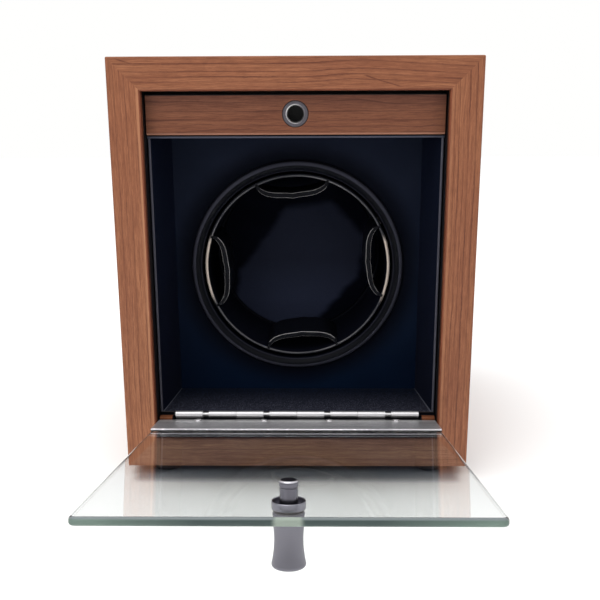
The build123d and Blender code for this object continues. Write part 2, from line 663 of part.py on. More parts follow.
# ================================================================ control board
BOARD = (30.0, 136.0)
BOARD_W, BOARD_H = 56.0, 48.0
HOLES = [(BOARD[0] + sx * 24, BOARD[1] + sz * 20) for sx in (-1, 1) for sz in (-1, 1)]
SEL = (32.0, 140.0)          # selector axis
ROCK = (-24.0, 140.0)        # rocker switch
JACK = (-24.0, 112.0)        # low-voltage inlet
with BuildPart() as control_board:
    with BuildSketch(dy(160.0)):
        with Locations(BOARD):
            RectangleRounded(BOARD_W, BOARD_H, 2)
        with Locations(*HOLES):
            Circle(1.5, mode=Mode.SUBTRACT)
    extrude(amount=-1.6)
    # soldered on it: controller and driver chips, capacitors and the two lead sockets
    with BuildSketch(dy(157.8)):
        with Locations((32, 141)):
            RectangleRounded(11, 11, 0.6)
    extrude(amount=-2.2)
    with BuildSketch(dy(158.2)):
        with Locations((15, 133)):
            Rectangle(6, 5)
        with Locations((47, 133), (47, 137), (47, 141)):
            Rectangle(6, 2)
    extrude(amount=-1.8)
    with BuildSketch(dy(149.0)):
        with Locations((16, 149)):
            Circle(4.2)
        with Locations((44, 151)):
            Circle(3.2)
    extrude(amount=-11.0)
    with BuildSketch(dy(153.6)):
        with Locations((16, 122), (30, 122)):
            Rectangle(8, 8)
    extrude(amount=-6.4)
control_board.part.label = "control_board"
export_step(control_board.part, "parts/control_board.step")

with BuildPart() as board_standoffs:
    with BuildSketch(dy(161.6)):
        with Locations(*HOLES):
            RegularPolygon(3.2, 6)
    extrude(amount=-(D_COVER - 161.6))
    with BuildSketch(dy(D_COVER)):
        with Locations(*HOLES):
            Circle(1.9)
    extrude(amount=-2.5)
    with BuildSketch(dy(161.6)):
        with Locations(*HOLES):
            Circle(1.5)
    extrude(amount=-7.0, mode=Mode.SUBTRACT)
board_standoffs.part.label = "board_standoffs"
export_step(board_standoffs.part, "parts/board_standoffs.step")

with BuildPart() as board_screws:
    with BuildSketch(dy(158.0)):
        with Locations(*HOLES):
            Circle(2.7)
    extrude(amount=-2.0)
    with BuildSketch(dy(160.0)):
        with Locations(*HOLES):
            Circle(1.5)
    extrude(amount=-7.6)
    with BuildSketch(dy(157.9)):
        with Locations(*HOLES):
            Rectangle(3.2, 0.7)
            Rectangle(0.7, 3.2)
    extrude(amount=-1.2, mode=Mode.SUBTRACT)
board_screws.part.label = "board_screws"
export_step(board_screws.part, "parts/board_screws.step")

# ================================================================ rear cover and its controls
COVER_SCREWS = [(-OX - 3, OZ0 + 30), (-OX - 3, OZ1 - 30), (OX + 3, OZ0 + 30), (OX + 3, OZ1 - 30),
                (0, OZ1 + 3), (0, OZ0 - 3)]
with BuildPart() as rear_cover:
    with BuildSketch(dy(D_COVER)):
        with Locations((0, ZB + H / 2)):
            RectangleRounded(W - 2 * T + 11.4, H - 2 * T + 11.4, 0.8)
        with Locations(*COVER_SCREWS):
            Circle(1.5, mode=Mode.SUBTRACT)
        with Locations(SEL, JACK):
            Circle(3.95, mode=Mode.SUBTRACT)
        with Locations(ROCK):
            Rectangle(19.0, 13.0, mode=Mode.SUBTRACT)
        with GridLocations(8.0, 0, 9, 1):
            with Locations((0, 70)):
                SlotOverall(30, 2.6, rotation=90, mode=Mode.SUBTRACT)
    extrude(amount=-COVER_T)
    fillet(rear_cover.faces().sort_by(Axis.Y)[-1].outer_wire().edges(), 0.6)
    with BuildSketch(dy(D_COVER)):
        with Locations(*HOLES):
            Circle(1.9)
    extrude(amount=-2.5, mode=Mode.SUBTRACT)
    # shallow ring and position dots round the selector
    with BuildSketch(dy(D_COVER + COVER_T - 0.4)):
        with Locations(SEL):
            with PolarLocations(11.5, 4, start_angle=15, angular_range=150, endpoint=True):
                Circle(0.7)
    extrude(amount=-1, mode=Mode.SUBTRACT)
rear_cover.part.label = "rear_cover"
export_step(rear_cover.part, "parts/rear_cover.step")

# one size of pan-head wood screw holds the feet, the catch rail, the face panel
# and the rear cover; each seat is the plane under its head
SEATS = [Plane(origin=(x, y, 2.6), z_dir=(0, 0, -1)) for x, y in FEET]
SEATS += [Plane(origin=(x, YF + 28.0, 190.5), z_dir=(0, 1, 0)) for x in (-50, 50)]
SEATS += [Plane(origin=(x, YF + D_PANEL + PANEL_T, z), z_dir=(0, 1, 0)) for x, z in PANEL_SCREWS]
SEATS += [Plane(origin=(x, YF + D_COVER + COVER_T, z), z_dir=(0, 1, 0)) for x, z in COVER_SCREWS]
with BuildPart() as wood_screw:
    Cylinder(2.9, 1.8, align=(Align.CENTER, Align.CENTER, Align.MIN))
    fillet(wood_screw.faces().sort_by(Axis.Z)[-1].edges(), 0.8)
    Cylinder(1.2, 14.0, align=(Align.CENTER, Align.CENTER, Align.MAX))
    chamfer(wood_screw.faces().sort_by(Axis.Z)[0].edges(), 0.8)
    with Locations((0, 0, 1.8)):
        Box(3.2, 0.7, 1.8, mode=Mode.SUBTRACT)
        Box(0.7, 3.2, 1.8, mode=Mode.SUBTRACT)
with BuildPart() as wood_screws:
    with Locations(*SEATS):
        add(wood_screw.part)
wood_screws.part.label = "wood_screws"
export_step(wood_screws.part, "parts/wood_screws.step")

with BuildPart() as dc_jack:
    with BuildSketch(dy(168.0)):
        with Locations(JACK):
            Circle(3.9)
    extrude(amount=-12.0)
    with BuildSketch(dy(180.0)):
        with Locations(JACK):
            Circle(5.6)
    extrude(amount=-1.6)
    fillet(dc_jack.faces().sort_by(Axis.Y)[-1].edges(), 0.5)
    with BuildSketch(dy(171.6)):
        with Locations(JACK):
            Circle(2.85)
            Circle(1.0, mode=Mode.SUBTRACT)
    extrude(amount=-12.0, mode=Mode.SUBTRACT)
    with BuildSketch(dy(181.0)):
        with Locations(JACK):
            Circle(2.0)
    extrude(amount=-2.0, mode=Mode.SUBTRACT)
dc_jack.part.label = "dc_jack"
export_step(dc_jack.part, "parts/dc_jack.step")

ROCK_D = 178.0            # depth of the rocker's pivot
with BuildPart() as rocker_frame:
    with BuildSketch(dy(167.0)):
        with Locations(ROCK):
            Rectangle(18.8, 12.8)
    extrude(amount=-13.0)
    with BuildSketch(dy(180.0)):
        with Locations(ROCK):
            RectangleRounded(21.6, 15.6, 1.0)
    extrude(amount=-1.6)
    fillet(rocker_frame.faces().sort_by(Axis.Y)[-1].edges(), 0.5)
    with BuildSketch(dy(171.4)):
        with Locations(ROCK):
            Rectangle(17.0, 10.6)
    extrude(amount=-12.0, mode=Mode.SUBTRACT)
    with BuildSketch(Plane.YZ.offset(ROCK[0] - 9.4)):
        with Locations((YF + ROCK_D, ROCK[1])):
            Circle(1.05)
    extrude(amount=18.8, mode=Mode.SUBTRACT)
    with BuildSketch(dy(163.0)):
        with Locations((ROCK[0] - 4, ROCK[1]), (ROCK[0] + 4, ROCK[1])):
            Rectangle(0.8, 4.6)
    extrude(amount=-4.0)
rocker_frame.part.label = "rocker_frame"
export_step(rocker_frame.part, "parts/rocker_frame.step")

ROCK_TILT = 8.0
with BuildPart() as rocker:
    rp = Plane(origin=(ROCK[0] - 8.1, YF + ROCK_D, ROCK[1]), x_dir=(0, cos(radians(ROCK_TILT)), sin(radians(ROCK_TILT))), z_dir=(1, 0, 0))
    with BuildSketch(rp):
        with BuildLine():
            Polyline((1.0, -4.5), (4.5, -4.5))
            ThreePointArc((4.5, -4.5), (3.35, -2.2), (2.9, 0))
            ThreePointArc((2.9, 0), (3.35, 2.2), (4.5, 4.5))
            Polyline((4.5, 4.5), (1.0, 4.5), (-2.6, 1.3), (-2.6, -1.3), (1.0, -4.5))
        make_face()
    extrude(amount=16.2)
    with BuildSketch(rp.offset(-1.1)):
        Circle(1.0)
    extrude(amount=18.4)
rocker.part.label = "rocker"
export_step(rocker.part, "parts/rocker.step")

with BuildPart() as selector_switch:
    with BuildSketch(dy(161.6)):
        with Locations(SEL):
            RectangleRounded(13, 13, 0.8)
    extrude(amount=-9.4)
    with BuildSketch(dy(171.0)):
        with Locations(SEL):
            Circle(3.9)
    extrude(amount=-11.6)
    with BuildSketch(dy(163.0)):
        with Locations(SEL):
            Circle(3.05)
    extrude(amount=-30.0, mode=Mode.SUBTRACT)
selector_switch.part.label = "selector_switch"
export_step(selector_switch.part, "parts/selector_switch.step")

# the inlet and the selector are clamped to the cover by the same hexagon nut
with BuildPart() as panel_nuts:
    with BuildSketch(dy(D_COVER + COVER_T)):
        with Locations(SEL):
            RegularPolygon(6.2, 6)
            Circle(3.9, mode=Mode.SUBTRACT)
    extrude(amount=-2.0)
    with BuildSketch(dy(D_COVER - 2.0)):
        with Locations(JACK):
            RegularPolygon(6.2, 6)
            Circle(3.9, mode=Mode.SUBTRACT)
    extrude(amount=-2.0)
panel_nuts.part.label = "panel_nuts"
export_step(panel_nuts.part, "parts/panel_nuts.step")

with BuildPart() as selector_shaft:
    with BuildSketch(dy(163.6)):
        with Locations(SEL):
            Circle(3.0)
    extrude(amount=-24.0)
selector_shaft.part.label = "selector_shaft"
export_step(selector_shaft.part, "parts/selector_shaft.step")

with BuildPart() as selector_knob:
    with BuildSketch(dy(183.0)):
        with Locations(SEL):
            Circle(7.6)
            with PolarLocations(7.9, 20):
                Circle(0.55, mode=Mode.SUBTRACT)
    extrude(amount=-6.4)
    chamfer(selector_knob.faces().sort_by(Axis.Y)[-1].edges(), 0.35)
    with BuildSketch(dy(182.0)):
        with Locations(SEL):
            Circle(3.0)
    extrude(amount=-5.6, mode=Mode.SUBTRACT)
    # pointer line, at the first dot
    with BuildSketch(Plane(origin=(SEL[0], YF + 188.9, SEL[1]), x_dir=(cos(radians(165)), 0, sin(radians(165))), z_dir=(0, -1, 0))):
        with Locations((4.6, 0)):
            Rectangle(4.4, 0.9)
    extrude(amount=-1.5, mode=Mode.SUBTRACT)
selector_knob.part.label = "selector_knob"
export_step(selector_knob.part, "parts/selector_knob.step")

# internal leads, from the inlet and from the motor to the sockets of the board;
# their ends stand square on the terminals
LEAD_R = 0.9
with BuildPart() as inner_leads:
    with BuildLine() as pl:
        FilletPolyline((JACK[0], YF + 168.0, JACK[1]), (JACK[0], YF + 160.0, JACK[1]), (-12, YF + 151.5, 103.0),
                       (6, YF + 146.5, 96.0), (24, YF + 146.5, 104.0), (30, YF + 146.5, 122.0), (30, YF + 153.6, 122.0),
                       radius=[3.6, 5, 5, 5, 3])
    with BuildSketch(Plane(origin=pl.line @ 0, z_dir=pl.line % 0)):
        Circle(LEAD_R)
    sweep(path=pl.line)
    with BuildLine() as ml:
        FilletPolyline((0, YF + 167.6, ZM), (0, YF + 172.6, ZM), (0, YF + 172.6, ZM + 16), (4, YF + 166.0, 84.0),
                       (11, YF + 152.0, 100.0), (16, YF + 146.5, 122.0), (16, YF + 153.6, 122.0),
                       radius=[2.4, 4, 5, 5, 3])
    with BuildSketch(Plane(origin=ml.line @ 0, z_dir=ml.line % 0)):
        Circle(LEAD_R)
    sweep(path=ml.line)
inner_leads.part.label = "inner_leads"
export_step(inner_leads.part, "parts/inner_leads.step")

# ================================================================ hinge
SECT = [-BARREL_X + i * SECTION for i in range(4)]
KN = (SECTION - NOTCH) / 2            # length of one knuckle
with BuildPart() as hinge_leaf:
    for xs in SECT:
        with BuildSketch(Plane.YZ.offset(xs + KN + NOTCH)):
            with Locations((YF + AX_D, AX_Z)):
                Circle(BARREL_R)
            with Locations((YF + (AX_D + 11.2) / 2, 31.4)):
                Rectangle(11.2 - AX_D, 0.8)
            with Locations((YF + AX_D + 0.75, 32.6)):
                Rectangle(1.5, 2.0)
        extrude(amount=KN - 0.15)
    with BuildSketch(Plane.XY.offset(31.0)):
        with Locations((0, YF + (11.1 + 19.6) / 2)):
            Rectangle(2 * BARREL_X, 8.5)
        with Locations(*[(x, YF + 16.2) for x in SCREW_X]):
            Circle(0.95, mode=Mode.SUBTRACT)
    extrude(amount=0.8)
    with BuildSketch(Plane.YZ.offset(-BARREL_X - 1)):
        with Locations((YF + AX_D, AX_Z)):
            Circle(PIN_R)
    extrude(amount=2 * BARREL_X + 2, mode=Mode.SUBTRACT)
hinge_leaf.part.label = "hinge_leaf"
export_step(hinge_leaf.part, "parts/hinge_leaf.step")

with BuildPart() as hinge_leaf_screws:
    with BuildSketch(Plane.XY.offset(31.8)):
        with Locations(*[(x, YF + 16.2) for x in SCREW_X]):
            Circle(1.8)
    extrude(amount=0.9)
    with BuildSketch(Plane.XY.offset(25.0)):
        with Locations(*[(x, YF + 16.2) for x in SCREW_X]):
            Circle(0.9)
    extrude(amount=6.8)
hinge_leaf_screws.part.label = "hinge_leaf_screws"
export_step(hinge_leaf_screws.part, "parts/hinge_leaf_screws.step")

with BuildPart() as hinge_pin:
    with BuildSketch(Plane.YZ.offset(-BARREL_X + 0.4)):
        with Locations((YF + AX_D, AX_Z)):
            Circle(PIN_R)
    extrude(amount=2 * BARREL_X - 0.8)
    chamfer(hinge_pin.faces().filter_by(Plane.YZ).edges(), 0.2)
hinge_pin.part.label = "hinge_pin"
export_step(hinge_pin.part, "parts/hinge_pin.step")

# leaf of the door, let in flush with the strip; only its knuckles stand above it
with BuildPart() as door_leaf:
    for xs in SECT:
        with BuildSketch(DOOR_SIDE.offset(-(xs + KN))):
            Circle(BARREL_R)
            with Locations((1.1, N_STRIP - 0.5)):
                Rectangle(4.6, 0.6)
            with Locations((-0.6, -1.9)):
                Rectangle(1.2, 1.9)
        extrude(amount=KN - 0.15)
    with BuildSketch(DOOR.offset(N_STRIP - 0.8)):
        with Locations((0, -(S_STRIP0 + 8.4) / 2)):
            Rectangle(2 * BARREL_X, 8.4 - S_STRIP0)
    extrude(amount=0.8)
    with BuildSketch(DOOR.offset(N_STRIP - 1)):
        with Locations(*[(x, -5.9) for x in SCREW_X]):
            Circle(0.8)
    extrude(amount=2, mode=Mode.SUBTRACT)
    with BuildSketch(DOOR_SIDE.offset(-BARREL_X - 1)):
        Circle(PIN_R + 0.07)
    extrude(amount=2 * BARREL_X + 2, mode=Mode.SUBTRACT)
door_leaf.part.label = "door_leaf"
export_step(door_leaf.part, "parts/door_leaf.step")

with BuildPart() as door_leaf_screws:
    with BuildSketch(DOOR.offset(N_STRIP)):
        with Locations(*[(x, -5.9) for x in SCREW_X]):
            Circle(1.9)
    extrude(amount=0.6)
    fillet(door_leaf_screws.faces().filter_by(GeomType.PLANE).sort_by(Axis.Z)[-4:].edges(), 0.25)
    with BuildSketch(DOOR.offset(N_STRIP)):
        with Locations(*[(x, -5.9) for x in SCREW_X]):
            Circle(0.8)
    extrude(amount=-1.4)
    with BuildSketch(DOOR.offset(N_STRIP + 0.3)):
        with Locations(*[(x, -5.9) for x in SCREW_X]):
            Rectangle(2.0, 0.4)
            Rectangle(0.4, 2.0)
    extrude(amount=1, mode=Mode.SUBTRACT)
door_leaf_screws.part.label = "door_leaf_screws"
export_step(door_leaf_screws.part, "parts/door_leaf_screws.step")

# ================================================================ door
# the strip is bonded to the glass: a flat plate with a bullnose, turned down over the end of the glass
N_BACK = N_GLASS - GLASS_T
with BuildPart() as door_strip:
    with BuildSketch(DOOR_SIDE.offset(-DOOR_X)):
        with BuildLine():
            Polyline((4.4, N_BACK), (S_STRIP0 + 0.3, N_BACK), (S_STRIP0, N_BACK + 0.3),
                     (S_STRIP0, N_STRIP - 0.3), (S_STRIP0 + 0.3, N_STRIP), (S_STRIP1 - 0.8, N_STRIP))
            ThreePointArc((S_STRIP1 - 0.8, N_STRIP), (S_STRIP1, N_STRIP - 0.72), (S_STRIP1 - 0.7, N_GLASS + 0.1))
            Polyline((S_STRIP1 - 0.7, N_GLASS + 0.1), (S_STRIP1 - 0.8, N_GLASS), (4.4, N_GLASS), (4.4, N_BACK))
        make_face()
    extrude(amount=2 * DOOR_X)
    # pocket of the flush leaf
    with BuildSketch(DOOR.offset(N_STRIP - 0.8)):
        with Locations((0, -(S_STRIP0 - 1 + 8.4) / 2)):
            Rectangle(2 * BARREL_X, 8.4 - S_STRIP0 + 1)
    extrude(amount=2, mode=Mode.SUBTRACT)
    with BuildSketch(DOOR.offset(N_STRIP - 0.7)):
        with Locations(*[(x, -5.9) for x in SCREW_X]):
            Circle(0.8)
    extrude(amount=-0.7, mode=Mode.SUBTRACT)
door_strip.part.label = "door_strip"
export_step(door_strip.part, "parts/door_strip.step")

with BuildPart() as glass_panel:
    with BuildSketch(DOOR.offset(N_GLASS)) as gs:
        with Locations((0, -(S_GLASS0 + S_GLASS1) / 2)):
            Rectangle(2 * GLASS_X, S_GLASS1 - S_GLASS0)
        fillet(gs.vertices().group_by(Axis.Y)[0], 2.6)
        with Locations((0, -S_KNOB)):
            Circle(2.6, mode=Mode.SUBTRACT)
    extrude(amount=-GLASS_T)
    # pencil-round on the free edge and the two sides; the end in the strip stays square
    g_out = glass_panel.edges().filter_by(lambda e: abs(e.center().X) > 5 or (e.length > 30 and (e.center() - DOOR.origin).dot(DOOR.y_dir) < -100))
    fillet(g_out.filter_by(lambda e: abs(abs((e.center() - DOOR.origin).dot(DOOR.z_dir) - (N_GLASS - GLASS_T / 2)) - GLASS_T / 2) < 0.01
                           and (e.center() - DOOR.origin).dot(DOOR.y_dir) < -20), GLASS_R)
glass_panel.part.label = "glass_panel"
export_step(glass_panel.part, "parts/glass_panel.step")

kn_o = DOOR_SIDE.from_local_coords((S_KNOB, 0, 0))
KNOB_AXIS = Axis(origin=kn_o, direction=DOOR.z_dir)
N_BODY = N_BACK - 0.25
N_COLLAR = N_GLASS + 0.25
N_END = -24.1            # outer end of the knob
with BuildPart() as knob_body:
    with BuildSketch(DOOR_SIDE):
        with BuildLine():
            Polyline((S_KNOB + 2.0, -17.4), (S_KNOB + 2.0, N_BODY), (S_KNOB + 5.3, N_BODY))
            Line((S_KNOB + 5.3, N_BODY), (S_KNOB + 5.65, N_BODY - 0.35))
            ThreePointArc((S_KNOB + 5.65, N_BODY - 0.35), (S_KNOB + 5.05, -14.2), (S_KNOB + 5.98, N_END + 1.4))
            ThreePointArc((S_KNOB + 5.98, N_END + 1.4), (S_KNOB + 5.75, N_END + 0.42), (S_KNOB + 4.8, N_END))
            Polyline((S_KNOB + 4.8, N_END), (S_KNOB, N_END), (S_KNOB, -17.4), (S_KNOB + 2.0, -17.4))
        make_face()
    revolve(axis=KNOB_AXIS)
knob_body.part.label = "knob_body"
export_step(knob_body.part, "parts/knob_body.step")

with BuildPart() as knob_collar:
    with BuildSketch(DOOR_SIDE):
        with BuildLine():
            Polyline((S_KNOB + 2.05, N_COLLAR), (S_KNOB + 5.8, N_COLLAR), (S_KNOB + 6.0, N_COLLAR + 0.2), (S_KNOB + 6.0, -1.2),
                     (S_KNOB + 5.85, -1.0), (S_KNOB + 5.65, -1.0), (S_KNOB + 5.5, -1.2), (S_KNOB + 5.5, -3.0),
                     (S_KNOB + 2.05, -3.0), close=True)
        make_face()
    revolve(axis=KNOB_AXIS)
knob_collar.part.label = "knob_collar"
export_step(knob_collar.part, "parts/knob_collar.step")

with BuildPart() as latch_pin:
    with BuildSketch(DOOR_SIDE):
        with BuildLine():
            Polyline((S_KNOB, -17.0), (S_KNOB + 2.0, -17.0), (S_KNOB + 2.0, -3.0), (S_KNOB + 3.2, -3.0), (S_KNOB + 3.2, 3.45),
                     (S_KNOB + 2.95, 3.6), (S_KNOB + 2.95, 3.85), (S_KNOB + 3.35, 4.1), (S_KNOB + 3.42, 5.1))
            ThreePointArc((S_KNOB + 3.42, 5.1), (S_KNOB + 3.08, 5.9), (S_KNOB + 2.3, 6.2))
            Polyline((S_KNOB + 2.3, 6.2), (S_KNOB, 6.2), (S_KNOB, -17.0))
        make_face()
    revolve(axis=KNOB_AXIS)
latch_pin.part.label = "latch_pin"
export_step(latch_pin.part, "parts/latch_pin.step")

with BuildPart() as knob_washers:
    with BuildSketch(DOOR.offset(N_GLASS)):
        with Locations((0, -S_KNOB)):
            Circle(5.7)
            Circle(2.1, mode=Mode.SUBTRACT)
    extrude(amount=0.25)
    with BuildSketch(DOOR.offset(N_BACK)):
        with Locations((0, -S_KNOB)):
            Circle(5.2)
            Circle(2.1, mode=Mode.SUBTRACT)
    extrude(amount=-0.25)
knob_washers.part.label = "knob_washers"
export_step(knob_washers.part, "parts/knob_washers.step")
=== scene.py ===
import bpy, bmesh, math
from mathutils import Vector, Matrix


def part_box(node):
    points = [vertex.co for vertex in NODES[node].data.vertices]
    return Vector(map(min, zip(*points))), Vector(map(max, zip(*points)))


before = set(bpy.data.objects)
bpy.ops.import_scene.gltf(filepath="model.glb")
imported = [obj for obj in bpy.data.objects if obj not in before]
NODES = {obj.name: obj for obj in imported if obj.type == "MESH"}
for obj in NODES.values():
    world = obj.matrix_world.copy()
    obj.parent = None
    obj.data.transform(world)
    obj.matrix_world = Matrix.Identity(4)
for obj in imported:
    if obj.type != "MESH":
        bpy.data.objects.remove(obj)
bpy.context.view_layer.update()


# ------------------------------------------------------------------ node helpers
class Mat:
    """A material under construction: one Principled shader and the nodes that feed it.
    Coordinates are the object's own, in millimetres."""

    def __init__(self, name):
        self.m = bpy.data.materials.new(name)
        self.m.use_nodes = True
        self.nt = self.m.node_tree
        self.nt.nodes.clear()
        self.out = self.nt.nodes.new("ShaderNodeOutputMaterial")
        self.b = self.nt.nodes.new("ShaderNodeBsdfPrincipled")
        self.nt.links.new(self.b.outputs[0], self.out.inputs[0])
        tc = self.nt.nodes.new("ShaderNodeTexCoord")
        sc = self.nt.nodes.new("ShaderNodeVectorMath")
        sc.operation = "SCALE"
        sc.inputs["Scale"].default_value = 1000.0
        self.link(tc.outputs["Object"], sc.inputs[0])
        self.mm = sc.outputs[0]
        sp = self.nt.nodes.new("ShaderNodeSeparateXYZ")
        self.link(self.mm, sp.inputs[0])
        self.x, self.y, self.z = sp.outputs

    def link(self, a, b):
        self.nt.links.new(a, b)

    def put(self, v, socket):
        if hasattr(v, "links"):
            self.link(v, socket)
        elif v is not None:
            socket.default_value = v

    def node(self, kind, **kw):
        n = self.nt.nodes.new(kind)
        for k, v in kw.items():
            setattr(n, k, v)
        return n

    def math(self, op, a, b=None, c=None, clamp=False):
        n = self.node("ShaderNodeMath", operation=op)
        n.use_clamp = clamp
        for v, s in zip((a, b, c), n.inputs):
            self.put(v, s)
        return n.outputs[0]

    def vec(self, x, y, z):
        n = self.node("ShaderNodeCombineXYZ")
        for v, s in zip((x, y, z), n.inputs):
            self.put(v, s)
        return n.outputs[0]

    def scaled(self, v, s):
        n = self.node("ShaderNodeVectorMath", operation="MULTIPLY")
        self.link(v, n.inputs[0])
        n.inputs[1].default_value = s
        return n.outputs[0]

    def noise(self, v, scale=1.0, detail=2.0, rough=0.5, dist=0.0, seed=None, color=False):
        n = self.node("ShaderNodeTexNoise")
        if seed is not None:
            n.noise_dimensions = "4D"
            n.inputs["W"].default_value = seed
        self.link(v, n.inputs["Vector"])
        n.inputs["Scale"].default_value = scale
        n.inputs["Detail"].default_value = detail
        n.inputs["Roughness"].default_value = rough
        n.inputs["Distortion"].default_value = dist
        return n.outputs["Color" if color else "Fac"]

    def voronoi(self, v, scale=1.0, feature="F1", rand=1.0, out="Distance"):
        n = self.node("ShaderNodeTexVoronoi", feature=feature)
        self.link(v, n.inputs["Vector"])
        n.inputs["Scale"].default_value = scale
        n.inputs["Randomness"].default_value = rand
        return n.outputs[out]

    def span(self, v, a, b, c=0.0, d=1.0, smooth=False):
        n = self.node("ShaderNodeMapRange")
        n.interpolation_type = "SMOOTHSTEP" if smooth else "LINEAR"
        self.put(v, n.inputs[0])
        for i, w in enumerate((a, b, c, d)):
            n.inputs[i + 1].default_value = w
        return n.outputs[0]

    def ramp(self, v, stops, mode="LINEAR"):
        n = self.node("ShaderNodeValToRGB")
        n.color_ramp.interpolation = mode
        e = n.color_ramp.elements
        while len(e) < len(stops):
            e.new(0.5)
        for i, (p, c) in enumerate(stops):
            e[i].position = p
            e[i].color = (c, c, c, 1) if isinstance(c, (int, float)) else (*c, 1)
        self.put(v, n.inputs[0])
        return n.outputs[0]

    def mix(self, f, a, b, mode="MIX"):
        n = self.node("ShaderNodeMix", data_type="RGBA", blend_type=mode)
        self.put(f, n.inputs[0])
        for v, s in ((a, n.inputs[6]), (b, n.inputs[7])):
            self.put((*v, 1) if isinstance(v, tuple) else v, s)
        return n.outputs[2]

    def bump(self, h, strength=0.3, dist=0.1, normal=None):
        n = self.node("ShaderNodeBump")
        n.inputs["Strength"].default_value = strength
        n.inputs["Distance"].default_value = dist * 0.001
        self.put(h, n.inputs["Height"])
        if normal is not None:
            self.link(normal, n.inputs["Normal"])
        return n.outputs[0]

    def set(self, **kw):
        names = dict(color="Base Color", rough="Roughness", metal="Metallic", normal="Normal", ior="IOR",
                     spec="Specular IOR Level", coat="Coat Weight", coat_rough="Coat Roughness", sheen="Sheen Weight",
                     sheen_rough="Sheen Roughness", trans="Transmission Weight", aniso="Anisotropic",
                     sub="Subsurface Weight")
        for k, v in kw.items():
            self.put((*v, 1) if isinstance(v, tuple) else v, self.b.inputs[names[k]])
        return self


def dress(mat, *names):
    for n in names:
        o = NODES[n]
        o.data.materials.clear()
        o.data.materials.append(mat.m)


# ------------------------------------------------------------------ wood
FRONT = -16.7          # front plane of the case, mm
ALPHA = math.radians(11.5)
AXIS_Y, AXIS_Z = FRONT + 8.5, 33.9
KNOB_X = (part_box("knob_body")[0][0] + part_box("knob_body")[1][0]) * 500.0
DOT_R = 11.5            # radius of the dial's ring of dots, mm
RIM_D = 46.0           # depth of the cup's rim behind the front plane, mm


